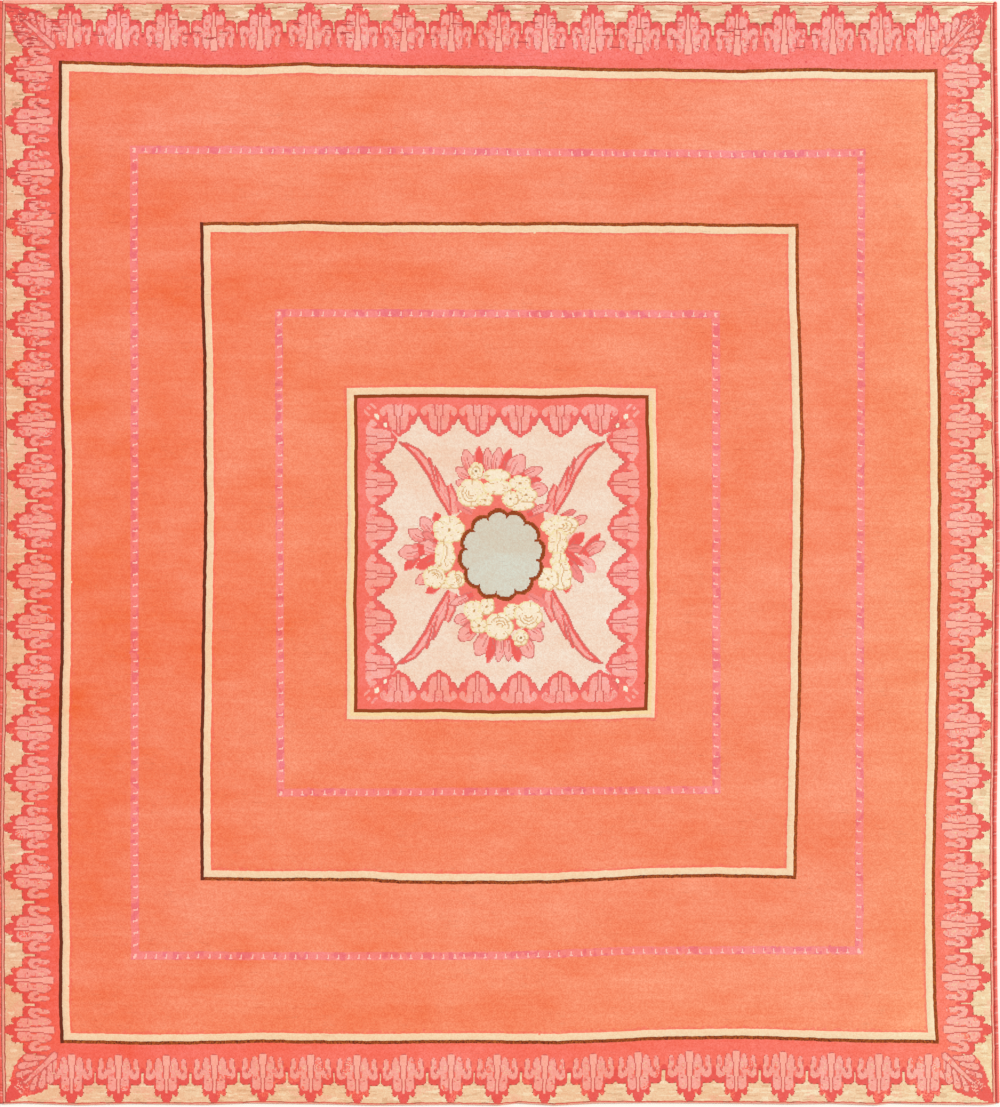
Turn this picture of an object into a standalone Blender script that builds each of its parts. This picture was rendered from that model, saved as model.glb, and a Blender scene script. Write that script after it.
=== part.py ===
"""A room-size hand-knotted wool carpet, lying flat with its pile up.

Row frame: origin under the middle of the carpet on the floor, +X to its right, +Y along its length, +Z up.
The carpet is one knotted piece. A thick wool cord is overcast along each of its long sides, and its ends
are plain. Its outline wanders by a few millimetres, as a hand-knotted carpet's does.
"""

import bpy

# ---- driving sizes, metres ----
WIDTH = 3.5000  # between the two nominal side lines
LENGTH = 3.8675  # between the two nominal end lines
THICKNESS = 0.0120  # woven back and clipped pile together
EDGE_SOFTNESS = 0.0022  # rounding where the pile turns down at the edge
CORD_WIDTH = 0.0140  # the overcast cord, seen from above
CORD_HEIGHT = 0.0128
CORD_END = 0.62  # the cord's thickness at its two tips, as a share
CORD_END_LENGTH = 0.006
GAP = 0.0003  # between the cord and the knotted body
MM = 0.001

# How far each edge stands outside its nominal line, in millimetres, against the distance from the top end
# (for the sides) or from the left side (for the ends), in metres.
LEFT_SIDE = (  # from_top, out
    (0.00, 5.0),
    (0.25, 9.8),
    (0.44, 7.0),
    (0.62, 2.1),
    (0.94, 4.2),
    (1.32, 3.5),
    (1.66, 0.7),
    (1.89, 0.7),
    (2.26, 2.8),
    (2.45, 4.2),
    (2.64, 8.4),
    (2.93, 12.6),
    (3.15, 9.1),
    (3.63, 9.1),
    (3.8675, 3.5),
)
RIGHT_SIDE = (  # from_top, out
    (0.00, -9.2),
    (0.22, -8.0),
    (0.40, -4.9),
    (0.52, -3.5),
    (0.62, -6.0),
    (0.75, -8.4),
    (0.94, -8.4),
    (1.21, -4.9),
    (1.51, -4.2),
    (1.66, 0.0),
    (1.93, 1.0),
    (2.10, -1.4),
    (2.26, -3.5),
    (2.51, -6.0),
    (2.64, -7.0),
    (2.87, -10.5),
    (3.21, -9.8),
    (3.46, -7.4),
    (3.65, -3.5),
    (3.8675, 0.0),
)
TOP_END = (  # from_left, out
    (0.00, 0.6),
    (0.32, 1.4),
    (0.80, 0.4),
    (1.30, 1.6),
    (1.68, -0.6),
    (2.20, -1.6),
    (2.60, -2.4),
    (3.10, -2.0),
    (3.50, -3.6),
)
BOTTOM_END = (  # from_left, out
    (0.00, -2.1),
    (0.08, -5.2),
    (0.27, 1.4),
    (0.46, -3.1),
    (0.72, 0.0),
    (0.87, -5.2),
    (1.14, -2.1),
    (1.31, 2.1),
    (1.61, -0.7),
    (1.75, 2.1),
    (1.82, -5.2),
    (1.95, 2.1),
    (2.10, -5.2),
    (2.30, -6.6),
    (2.54, -5.2),
    (2.77, -2.1),
    (2.92, -4.0),
    (3.07, 1.4),
    (3.12, -5.2),
    (3.22, -2.1),
    (3.44, 0.7),
    (3.50, -4.0),
)


def read_table(table, at):
    """The table's second column at this value of its first, on straight lines between rows."""
    for (a, low), (b, high) in zip(table, table[1:]):
        if at <= b:
            share = max(0.0, (at - a) / (b - a))
            return (low + (high - low) * share) * MM
    return table[-1][1] * MM


# The middle of the real outline, which is where the origin goes.
SHIFT_X = (
    max(out for _, out in RIGHT_SIDE) - max(out for _, out in LEFT_SIDE)
) * MM / 2
SHIFT_Y = (
    max(out for _, out in TOP_END) - max(out for _, out in BOTTOM_END)
) * MM / 2


def left_x(from_top):
    return -WIDTH / 2 - read_table(LEFT_SIDE, from_top) - SHIFT_X


def right_x(from_top):
    return WIDTH / 2 + read_table(RIGHT_SIDE, from_top) - SHIFT_X


def top_y(from_left):
    return LENGTH / 2 + read_table(TOP_END, from_left) - SHIFT_Y


def bottom_y(from_left):
    return -LENGTH / 2 - read_table(BOTTOM_END, from_left) - SHIFT_Y


def side_heights(table, low_y, high_y):
    """The table's distances as heights up the carpet, with its first and last rows on the end lines."""
    found = [high_y]
    for from_top, _ in table[1:-1]:
        found.append(LENGTH / 2 - SHIFT_Y - from_top)
    found.append(low_y)
    return found


def clear_scene():
    for ob in list(bpy.data.objects):
        bpy.data.objects.remove(ob, do_unlink=True)


def yarn(name, colour, roughness):
    mat = bpy.data.materials.new(name)
    mat.use_nodes = True
    shader = mat.node_tree.nodes["Principled BSDF"]
    shader.inputs["Base Color"].default_value = (*colour, 1.0)
    shader.inputs["Roughness"].default_value = roughness
    shader.inputs["Metallic"].default_value = 0.0
    return mat


def poly_curve(name, points, closed, dimensions):
    data = bpy.data.curves.new(name, "CURVE")
    data.dimensions = dimensions
    data.resolution_u = 1
    data.render_resolution_u = 0
    spline = data.splines.new("POLY")
    spline.points.add(len(points) - 1)
    for point, place in zip(spline.points, points):
        point.co = (*place, 1.0)
    spline.use_cyclic_u = closed
    return data, spline


def body_outline():
    """The knotted body's outline, anticlockwise from its top left corner, inside the two cords."""
    inset = CORD_WIDTH + GAP
    points = []
    rows = [from_top for from_top, _ in LEFT_SIDE]
    for from_top, y in zip(rows, side_heights(LEFT_SIDE, bottom_y(0.0), top_y(0.0))):
        points.append((left_x(from_top) + inset, y, 0.0))
    for from_left, _ in BOTTOM_END[1:-1]:
        points.append((-WIDTH / 2 - SHIFT_X + from_left, bottom_y(from_left), 0.0))
    rows = [from_top for from_top, _ in RIGHT_SIDE]
    for from_top, y in reversed(
        list(zip(rows, side_heights(RIGHT_SIDE, bottom_y(WIDTH), top_y(WIDTH))))
    ):
        points.append((right_x(from_top) - inset, y, 0.0))
    for from_left, _ in reversed(TOP_END[1:-1]):
        points.append((-WIDTH / 2 - SHIFT_X + from_left, top_y(from_left), 0.0))
    return points


def make_body(collection):
    data, _ = poly_curve("carpet", body_outline(), True, "2D")
    data.fill_mode = "BOTH"
    data.extrude = THICKNESS / 2
    ob = bpy.data.objects.new("carpet", data)
    ob.location = (0.0, 0.0, THICKNESS / 2)
    collection.objects.link(ob)
    data.materials.append(yarn("coral_pile", (0.90, 0.33, 0.22), 0.95))
    weld = ob.modifiers.new("join_caps", "WELD")
    weld.merge_threshold = 0.00005
    bevel = ob.modifiers.new("soft_edge", "BEVEL")
    bevel.width = EDGE_SOFTNESS
    bevel.segments = 2
    bevel.limit_method = "ANGLE"
    bevel.angle_limit = 0.6
    return ob


def make_cord(collection, name, table, side_x, sign, low_y, high_y):
    """A side cord: a thick line that follows the wandering edge, with its two tips drawn in."""
    rows = [from_top for from_top, _ in table]
    places = [
        (side_x(from_top) - sign * CORD_WIDTH / 2, y, 0.0)
        for from_top, y in zip(rows, side_heights(table, low_y, high_y))
    ]
    first, last = places[0], places[-1]
    places.insert(1, (first[0], first[1] - CORD_END_LENGTH, 0.0))
    places.insert(-1, (last[0], last[1] + CORD_END_LENGTH, 0.0))
    data, spline = poly_curve(name, places, False, "3D")
    data.bevel_depth = CORD_WIDTH / 2
    data.bevel_resolution = 4
    data.use_fill_caps = True
    data.twist_mode = "Z_UP"
    spline.points[0].radius = CORD_END
    spline.points[-1].radius = CORD_END
    for poly in data.splines:
        poly.use_smooth = True
    ob = bpy.data.objects.new(name, data)
    ob.scale = (1.0, 1.0, CORD_HEIGHT / CORD_WIDTH)
    ob.location = (0.0, 0.0, CORD_HEIGHT / 2)
    collection.objects.link(ob)
    data.materials.append(yarn(name + "_wool", (0.78, 0.11, 0.09), 0.9))
    return ob


def main():
    clear_scene()
    collection = bpy.data.collections.new("art_deco_carpet")
    bpy.context.scene.collection.children.link(collection)
    make_body(collection)
    make_cord(
        collection,
        "overcast_left",
        LEFT_SIDE,
        left_x,
        -1,
        bottom_y(0.0),
        top_y(0.0),
    )
    make_cord(
        collection,
        "overcast_right",
        RIGHT_SIDE,
        right_x,
        1,
        bottom_y(WIDTH),
        top_y(WIDTH),
    )


main()
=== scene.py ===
"""The look of a room-size hand-knotted carpet that lies flat with its pile up.

The design is worked out knot by knot, as on a weaver's point paper, and then laid on a knot grid that wanders
as the real one does. Drawing units are 3.5 mm, with u to the right and v down from the top left corner.
"""

import math
import random

import bmesh
import bpy
import numpy as np
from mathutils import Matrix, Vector


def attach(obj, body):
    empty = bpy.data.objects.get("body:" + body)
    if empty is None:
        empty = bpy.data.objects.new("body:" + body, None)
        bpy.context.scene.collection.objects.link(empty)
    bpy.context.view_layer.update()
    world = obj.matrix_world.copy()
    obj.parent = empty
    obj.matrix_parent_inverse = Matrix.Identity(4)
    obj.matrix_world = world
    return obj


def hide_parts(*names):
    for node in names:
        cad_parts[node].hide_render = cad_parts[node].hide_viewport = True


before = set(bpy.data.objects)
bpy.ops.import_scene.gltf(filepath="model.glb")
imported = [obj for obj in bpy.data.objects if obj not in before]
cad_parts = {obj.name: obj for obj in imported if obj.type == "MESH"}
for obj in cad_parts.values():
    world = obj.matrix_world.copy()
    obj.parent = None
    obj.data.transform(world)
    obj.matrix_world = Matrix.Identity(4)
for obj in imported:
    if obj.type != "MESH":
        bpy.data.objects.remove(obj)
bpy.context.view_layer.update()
rng = np.random.default_rng(1927)
pick = random.Random(1927)

# ---- sizes ----
UNIT = 0.0035  # metres in a drawing unit
KNOT = 0.0040  # metres between knots, both ways
STEP = KNOT / UNIT  # the same in drawing units
COLUMNS = 868
ROWS = 966
LEFT = 2.5  # u of the first knot's outer side
TOP = 0.0
ORIGIN_U, ORIGIN_X = 500.0, 0.0058
ORIGIN_V, ORIGIN_Y = 552.5, 0.00025
MM = 0.001
WIDTH, LENGTH = 3.5, 3.8675
CORD_WIDTH, CORD_HEIGHT, CORD_GAP = 0.0140, 0.0128, 0.0003
PILE_TOP = 0.0113  # ordinary pile height over the floor
BACK_HEIGHT = 0.0011  # the woven back's upper side

# The outline, as millimetres outside the nominal line.
LEFT_SIDE = (  # metres_from_top, out
    (0.00, 5.0), (0.25, 9.8), (0.44, 7.0), (0.62, 2.1), (0.94, 4.2), (1.32, 3.5), (1.66, 0.7), (1.89, 0.7),
    (2.26, 2.8), (2.45, 4.2), (2.64, 8.4), (2.93, 12.6), (3.15, 9.1), (3.63, 9.1), (3.8675, 3.5),
)  # fmt: skip
RIGHT_SIDE = (  # metres_from_top, out
    (0.00, -9.2), (0.22, -8.0), (0.40, -4.9), (0.52, -3.5), (0.62, -6.0), (0.75, -8.4), (0.94, -8.4),
    (1.21, -4.9), (1.51, -4.2), (1.66, 0.0), (1.93, 1.0), (2.10, -1.4), (2.26, -3.5), (2.51, -6.0),
    (2.64, -7.0), (2.87, -10.5), (3.21, -9.8), (3.46, -7.4), (3.65, -3.5), (3.8675, 0.0),
)  # fmt: skip
TOP_END = (  # metres_from_left, out
    (0.00, 0.6), (0.32, 1.4), (0.80, 0.4), (1.30, 1.6), (1.68, -0.6), (2.20, -1.6), (2.60, -2.4),
    (3.10, -2.0), (3.50, -3.6),
)  # fmt: skip
BOTTOM_END = (  # metres_from_left, out
    (0.00, -2.1), (0.08, -5.2), (0.27, 1.4), (0.46, -3.1), (0.72, 0.0), (0.87, -5.2), (1.14, -2.1),
    (1.31, 2.1), (1.61, -0.7), (1.75, 2.1), (1.82, -5.2), (1.95, 2.1), (2.10, -5.2), (2.30, -6.6),
    (2.54, -5.2), (2.77, -2.1), (2.92, -4.0), (3.07, 1.4), (3.12, -5.2), (3.22, -2.1), (3.44, 0.7),
    (3.50, -4.0),
)  # fmt: skip

# How each ruled line of the design wanders: its place on the chart, and where it lies along its length.
UPRIGHT_LINES = (  # home_u, ((v, u), ...)
    (61.0, ((0, 59.6), (90, 60.0), (130, 59.4), (170, 60.6), (250, 60.3), (300, 61.1), (400, 61.5), (450, 63.2),
            (500, 63.1), (550, 62.4), (650, 61.9), (700, 60.2), (800, 58.7), (900, 59.6), (950, 60.8),
            (1000, 59.9), (1040, 61.5))),
    (135.0, ((0, 134.6), (150, 134.6), (955, 135.5))),
    (202.0, ((0, 202.0), (250, 202.2), (300, 202.7), (350, 204.9), (450, 205.4), (500, 206.0), (550, 205.6),
             (600, 204.4), (700, 203.0), (750, 201.8), (880, 202.2))),
    (280.0, ((300, 279.0), (800, 281.0))),
    (355.5, ((388, 356.2), (450, 356.4), (525, 357.0), (555, 356.4), (600, 355.2), (645, 356.3), (712, 355.9))),
    (648.5, ((388, 646.2), (435, 647.3), (495, 648.8), (555, 647.8), (615, 647.8), (645, 647.0), (712, 645.4))),
    (716.5, ((300, 716.0), (800, 717.0))),
    (796.5, ((200, 797.0), (250, 797.5), (300, 798.2), (350, 799.9), (400, 801.5), (450, 803.1), (500, 802.2),
             (600, 801.2), (700, 799.7), (750, 798.1), (800, 796.8), (878, 795.0))),
    (860.0, ((150, 861.0), (955, 859.0))),
    (936.0, ((70, 936.4), (130, 936.7), (210, 936.4), (300, 937.2), (350, 938.2), (400, 939.6), (550, 940.1),
             (650, 939.0), (750, 937.2), (800, 935.2), (900, 933.5), (1000, 935.0), (1040, 937.4))),
)  # fmt: skip
LEVEL_LINES = (  # home_v, ((u, v), ...)
    (66.5, ((61, 61.9), (129, 63.8), (218, 66.0), (250, 66.0), (305, 63.2), (320, 64.7), (409, 66.2),
            (509, 66.7), (560, 67.6), (610, 69.8), (660, 69.6), (740, 71.2), (810, 69.0), (860, 70.6),
            (910, 70.9), (938, 70.4))),
    (151.5, ((137, 149.8), (410, 150.7), (505, 152.0), (740, 154.4), (860, 153.1))),
    (223.0, ((202, 223.3), (250, 223.5), (304, 221.7), (331, 222.7), (378, 223.6), (440, 223.3), (510, 223.7),
             (560, 222.9), (610, 224.1), (660, 223.8), (740, 224.9), (796, 224.9))),
    (313.5, ((279, 313.0), (716, 314.0))),
    (395.5, ((355, 396.0), (430, 395.1), (460, 395.6), (520, 396.3), (550, 396.6), (580, 395.2), (648, 396.2))),
    (710.5, ((355, 710.6), (400, 711.0), (460, 710.9), (490, 712.1), (520, 712.0), (580, 711.3), (648, 709.0))),
    (791.5, ((281, 793.0), (717, 790.0))),
    (880.0, ((202, 878.0), (260, 878.7), (360, 879.0), (410, 881.6), (510, 881.8), (560, 880.8), (610, 878.4),
             (660, 875.4), (710, 874.8), (795, 876.6))),
    (953.5, ((137, 955.5), (370, 956.2), (511, 955.4), (630, 950.4), (860, 950.0))),
    (1041.0, ((63, 1042.0), (90, 1042.4), (150, 1043.6), (210, 1043.0), (256, 1041.4), (310, 1042.4),
              (370, 1042.8), (463, 1041.8), (511, 1042.6), (560, 1043.0), (610, 1041.2), (660, 1038.6),
              (740, 1037.5), (813, 1039.8), (860, 1041.2), (910, 1041.6), (938, 1042.6))),
)  # fmt: skip

# ---- yarns ----
YARNS = (  # name, red, green, blue (as seen), height over the ordinary pile in mm, share of dye drift
    ("field", 250, 139, 102, 0.0, 1.0),
    ("field_by_line", 248, 124, 98, -0.25, 0.8),
    ("rose", 250, 114, 97, 0.0, 1.0),
    ("leaf_red", 237, 90, 82, 0.05, 0.6),
    ("leaf_light", 250, 163, 148, 0.1, 0.5),
    ("leaf_mid", 246, 132, 120, 0.05, 0.5),
    ("leaf_stem", 253, 172, 152, 0.15, 0.3),
    ("vein", 218, 100, 92, -0.25, 0.3),
    ("step_dark", 186, 84, 66, -0.15, 0.1),
    ("ground", 243, 199, 160, -0.15, 0.5),
    ("ground_pink", 246, 189, 156, -0.15, 0.5),
    ("ground_light", 248, 216, 180, -0.1, 0.4),
    ("ground_dark", 231, 182, 142, -0.25, 0.4),
    ("cream", 249, 214, 175, 1.05, 0.3),
    ("cream_yellow", 249, 215, 160, 1.05, 0.2),
    ("rose_inner", 250, 121, 107, 0.0, 0.8),
    ("brown", 152, 66, 24, -0.7, 0.1),
    ("brown_gold", 178, 90, 34, -0.6, 0.1),
    # painted shade: a darker brown for frame knots drawn as lying in the raised cream's shadow
    ("brown_dark", 112, 42, 20, -0.8, 0.1),
    ("band", 251, 137, 130, -0.1, 0.6),
    ("band_mauve", 243, 120, 124, -0.1, 0.6),
    ("bead", 255, 196, 180, 0.25, 0.1),
    ("peach", 246, 218, 196, 0.0, 0.45),
    ("roundel", 217, 210, 191, 0.15, 0.3),
    ("ivory", 251, 234, 207, 0.55, 0.2),
    ("blossom_rim", 246, 228, 180, 0.4, 0.2),
    ("blossom_line", 226, 184, 134, 0.0, 0.1),
    ("ochre", 222, 172, 118, 0.1, 0.1),
    ("olive", 176, 138, 92, 0.0, 0.1),
    ("petal_light", 251, 176, 165, 0.2, 0.4),
    ("petal_mid", 247, 140, 132, 0.15, 0.4),
    ("petal_red", 242, 98, 90, 0.1, 0.3),
    ("petal_line", 218, 118, 110, -0.1, 0.3),
    ("guard", 250, 172, 148, -0.3, 0.3),
    ("guard_dark", 186, 84, 70, -0.5, 0.1),
    ("guard_red", 222, 92, 80, -0.3, 0.2),
    ("inner_light", 251, 166, 152, 0.1, 0.5),
    ("inner_rim", 243, 108, 101, 0.0, 0.4),
    ("coral_ground", 247, 122, 108, -0.1, 0.4),
    ("worn_red", 196, 78, 74, -0.6, 0.1),
    ("worn_ground", 204, 152, 114, -0.6, 0.1),
)  # fmt: skip
NAMES = [row[0] for row in YARNS]
Y = {name: index for index, name in enumerate(NAMES)}

# ---- charts ----
# Half of a border leaf from its middle outwards, one letter a knot and one row a line of knots from its tip in.
LETTERS = {
    ".": "ground", "R": "leaf_red", "P": "rose", "L": "leaf_light", "S": "leaf_stem", "V": "vein",
    "K": "step_dark", "T": "ground_pink",
    "i": "inner_light", "o": "inner_rim", "v": "vein", "p": "peach", "r": "rose_inner",
}  # fmt: skip
BORDER_LEAF = """
RRR...................
RRRK..................
RRRR..................
RRRRK.................
RRRRR.................
RRRRR..KRK............
RRRRR.RRRRR...........
RRRRRRRRRRR...........
SRRRRRRRRRRK..........
SRRRRRRRRRR...........
SVRLLLLRRRR...........
SVLLLLLLRRR...........
SVLLLLLLLRRK..........
SVLLLLLLLLRR..........
SVLLLLLLLLRR..........
SVLLLLLLLLRRKKRRRKK...
SVLLLLLLLLRRRRRRRRRR..
SVLLLLLLLLVRRRRRRRRRK.
SVLLLLLLLLVRRRRRRRRRR.
SVLLLVVLLLVRRRRRRRRRR.
SVLLLLLLLLVRRRLLLRRRR.
SSVLLLLLLVRRLLLLLLRRR.
SSVPLLLLLVPLLLLLLLLRR.
SSVPLLLLLVPLLLLLLLLRR.
SSVPLLLLLVLLLLLLLLLRR.
SSVPLLLLLVLLLLVLLLLRR.
SSVPLLLLLVLLLLVVLLLRRK
SSVLLLLLLVLLLVPVLLLRRR
SSVLLLLLLLLLLVPVLLLPRR
SSVLLTLLLLLVLPPLLLLPRR
SSVLLTLLLLLVPPLLLTLPPR
SSVLLLLLLLLVPPLLLTVPPP
SSVLLTLLLLLVPPLLLLVPPP
SSSVLLLLLLLVPPLLLLVPPP
SSSVLLLLLLLVPPLLLLVPPP
SSSVLLLLLLLPPPLLLLVPPP
SSSVLLLLLLVPPPLLLLPPPP
SSSVPLLLLLVPPPVLLLPPPP
SSSVPLLLLVPPPPPLLVPPPP
SSSVPPLLVPPPPPPPPPPPPP
SSSVPPPPPPPPPPPPPPPPPP
SSSPPPPPPPPPPPPPPPPPPP
VVPPPPPPPPPPPPPPPPPPPP
""".split()

# Half of a leaf round the inside of the middle square, from its tip in.
INNER_LEAF = """
oo................
ooo...............
vooov.............
iooooov...........
ivoooooo..........
ivooooooov........
iviiiioooo........
iviiiiiooov.......
iviiiiiooov.......
iviiiiiiooo.......
iviiiiiioooovv....
iviiiiiioooooov...
iviiiiiiooooooo...
iviiiiiiioooooov..
iviiiiiiioooooov..
iviiiiiiiorroooov.
iviiiiiiiorrrooov.
iviiiiiiivooooooov
iivviiiiivooiioooo
iiiviiiiiooiiiiooo
iiiviiiiioriiiiioo
iiiviiiiiiriiiiior
iiiviiiiiiriiiiirr
iiiviiiiiiiiiiiirr
iiiviiiiiiiiiiirrr
iiiviiiiiiiiiirrrr
iiiviiiiiiiirrrrrr
oiioviiiiirrrrrrrr
rrrrrrrrrrrrrrrrrr
""".split()

LEAVES_ACROSS, FIRST_ACROSS, LAST_ACROSS = 19, 71.5, 927.4
LEAVES_DOWN, FIRST_DOWN, LAST_DOWN = 20, 72.5, 1028.8

FRAMES = (  # left, right, top, bottom of the brown line's middle
    (61.0, 936.0, 66.5, 1041.0),
    (202.0, 796.5, 223.0, 880.0),
    (355.5, 648.5, 395.5, 710.5),
)
BEADS = (  # left, right, top, bottom, beads across, beads down
    (135.0, 860.0, 151.5, 953.5, 68, 74),
    (280.0, 716.5, 313.5, 791.5, 40, 44),
)

PETALS = (  # u, v, length, width, direction in degrees (0 right, 90 up), yarn, drawn line
    (460.0, 483.5, 11, 9, 175, "petal_light", 1),
    (461.5, 472.5, 15, 11, 155, "petal_light", 1),
    (467.0, 458.8, 20, 12, 112, "petal_light", 1),
    (478.5, 456.0, 20, 9, 96, "petal_red", 0),
    (487.5, 457.5, 22, 10, 98, "petal_light", 1),
    (497.0, 458.0, 23, 11, 82, "petal_light", 1),
    (506.5, 457.5, 22, 9, 70, "petal_red", 0),
    (516.5, 463.0, 24, 17, 64, "petal_light", 1),
    (534.5, 478.5, 14, 8, 12, "petal_red", 0),
    (534.0, 470.0, 19, 10, 26, "petal_light", 1),
    (539.0, 487.5, 17, 14, 16, "petal_light", 1),
    (570.0, 512.0, 13, 6, 20, "petal_mid", 1),
    (580.5, 519.0, 15, 9, 32, "petal_light", 1),
    (577.0, 538.0, 18, 11, 48, "petal_red", 0),
    (577.5, 548.5, 18, 8, 2, "petal_mid", 1),
    (592.5, 541.5, 22, 9, 52, "petal_red", 0),
    (596.5, 546.5, 20, 11, 34, "petal_light", 1),
    (590.5, 565.5, 17, 12, -38, "petal_light", 0),
    (578.0, 560.0, 17, 7, -36, "petal_red", 0),
    (578.0, 573.5, 20, 10, -52, "petal_mid", 1),
    (567.5, 586.5, 12, 9, -84, "petal_red", 0),
    (435.5, 518.0, 11, 9, 120, "petal_red", 0),
    (424.5, 524.5, 18, 12, 132, "petal_light", 1),
    (414.5, 534.5, 18, 11, 152, "petal_light", 1),
    (427.0, 536.5, 14, 8, 150, "petal_mid", 1),
    (426.5, 548.0, 19, 14, 166, "petal_light", 1),
    (409.5, 564.5, 15, 9, 228, "petal_red", 0),
    (407.5, 552.5, 20, 15, 192, "petal_light", 1),
    (424.0, 564.5, 18, 11, 212, "petal_red", 0),
    (422.5, 579.5, 16, 11, 214, "petal_light", 1),
    (431.5, 590.5, 12, 8, 218, "petal_red", 0),
    (461.0, 619.5, 14, 11, 205, "petal_light", 1),
    (466.5, 633.5, 20, 14, 226, "petal_light", 1),
    (474.5, 629.0, 12, 8, 235, "petal_red", 0),
    (483.0, 644.5, 24, 16, 246, "petal_light", 1),
    (491.5, 651.0, 22, 9, 260, "petal_red", 0),
    (500.5, 650.0, 22, 10, 268, "petal_light", 1),
    (509.5, 649.5, 21, 10, 278, "petal_light", 1),
    (518.5, 651.5, 18, 10, 286, "petal_red", 0),
    (528.5, 647.5, 21, 14, 304, "petal_light", 1),
    (537.0, 633.0, 18, 13, 326, "petal_light", 1),
    (539.5, 622.0, 13, 9, 345, "petal_light", 1),
    (541.0, 507.0, 20, 8, 28, "petal_light", 1),
    (459.0, 601.0, 20, 8, 208, "petal_light", 1),
    (460.0, 506.0, 16, 7, 150, "petal_mid", 0),
    (542.0, 601.0, 18, 7, 330, "petal_mid", 0),
)  # fmt: skip
BLOSSOMS = (  # u, v, across, down, tilt in degrees, frills, middle
    (496.4, 474.8, 27, 13, 0, 5, "none"),
    (471.0, 492.6, 29, 28, 20, 6, "arc"),
    (497.0, 486.4, 30, 16, 0, 4, "none"),
    (475.8, 470.6, 15, 18, -20, 5, "ring"),
    (484.5, 499.0, 17, 13, 0, 5, "dot"),
    (519.6, 504.0, 28, 12, 0, 6, "none"),
    (520.0, 482.3, 23, 16, 0, 5, "dot"),
    (525.8, 494.0, 23, 16, 0, 6, "dot"),
    (510.0, 498.0, 17, 16, 0, 5, "dot"),
    (559.5, 525.5, 38, 20, 4, 7, "arc"),
    (557.5, 542.0, 20, 28, 0, 5, "line"),
    (559.0, 560.0, 17, 18, 8, 5, "line"),
    (562.0, 574.5, 21, 32, 6, 6, "line"),
    (548.5, 578.0, 22, 22, 0, 6, "dot"),
    (448.2, 529.6, 32, 28, 0, 7, "dot"),
    (444.8, 556.0, 21, 31, 4, 5, "line"),
    (446.5, 582.5, 16, 12, 0, 4, "none"),
    (434.5, 577.0, 24, 22, -14, 6, "arc"),
    (455.3, 579.5, 20, 18, 10, 5, "arc"),
    (474.7, 610.0, 21, 21, 0, 6, "dot"),
    (487.5, 605.5, 16, 17, 0, 5, "dot"),
    (479.3, 624.5, 17, 16, 0, 5, "dot"),
    (500.0, 625.0, 28, 28, 0, 5, "arc"),
    (513.5, 610.0, 18, 16, 0, 5, "arc"),
    (529.0, 614.0, 28, 28, -16, 6, "arc"),
    (521.3, 637.0, 15, 17, -28, 5, "ring"),
)  # fmt: skip
BEDS = (  # u, v, half width, half height of the coral that shows between the blossoms
    (500.0, 494.0, 36.0, 19.0),
    (500.5, 611.0, 34.0, 20.0),
    (451.0, 554.0, 13.0, 33.0),
    (554.0, 551.0, 13.0, 33.0),
)
SPRAYS = (  # tip u, tip v, base u, base v, bow towards the near corner's side
    (397.5, 441.6, 453.0, 514.5, 8.2),
    (606.4, 441.7, 550.5, 513.5, -8.2),
    (394.5, 665.0, 452.5, 591.0, -8.2),
    (605.5, 664.0, 548.5, 590.0, 8.2),
)
SPRAY_BEND = ((0.0, 0.0), (0.09, 0.5), (0.2, 0.93), (0.3, 1.0), (0.5, 0.97), (0.68, 0.62), (0.84, 0.5), (1.0, 0.0))
SPRAY_WIDTH = (  # along from tip, half width
    (0.0, 0.8), (0.1, 3.3), (0.2, 4.6), (0.4, 5.6), (0.6, 6.4), (0.82, 7.8), (1.0, 5.4),
)  # fmt: skip
SPRAY_BARBS = (  # where its point is along from tip, how far it stands out, over what share it dies away
    (0.34, 3.4, 0.10),
    (0.45, 1.8, 0.24),
    (0.70, 5.4, 0.36),
)


def column(table, index):
    return np.array([row[index] for row in table], dtype=float)


def along(table, at):
    """The second column of a two-column table at these values of its first."""
    return np.interp(at, column(table, 0), column(table, 1))


def drift(shape, cells_down, cells_across, seed):
    """Smooth noise from -1 to 1 over the whole shape, with about this many swells each way."""
    local = np.random.default_rng(seed)
    coarse = local.uniform(-1, 1, (cells_down + 3, cells_across + 3))
    down = np.linspace(0, cells_down, shape[0])
    over = np.linspace(0, cells_across, shape[1])

    def ease(places):
        whole = np.floor(places).astype(int)
        part = places - whole
        return whole, part * part * (3 - 2 * part)

    r, fr = ease(down)
    c, fc = ease(over)
    first = coarse[np.ix_(r, c)] * (1 - fc) + coarse[np.ix_(r, c + 1)] * fc
    second = coarse[np.ix_(r + 1, c)] * (1 - fc) + coarse[np.ix_(r + 1, c + 1)] * fc
    return first * (1 - fr)[:, None] + second * fr[:, None]


# ---- the wandering knot grid ----
def edge_u(table, v, sign):
    """Where the knotted body ends at one side, in drawing units, at these heights down the carpet."""
    out = along(table, v * UNIT) * MM / UNIT
    inset = (CORD_WIDTH + CORD_GAP) / UNIT
    return (0.0 - out + inset) if sign < 0 else (1000.0 + out - inset)


def edge_v(table, u, sign):
    out = along(table, u * UNIT) * MM / UNIT
    soft = 0.0008 / UNIT
    return (0.0 - out + soft) if sign < 0 else (1105.0 + out - soft)


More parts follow.
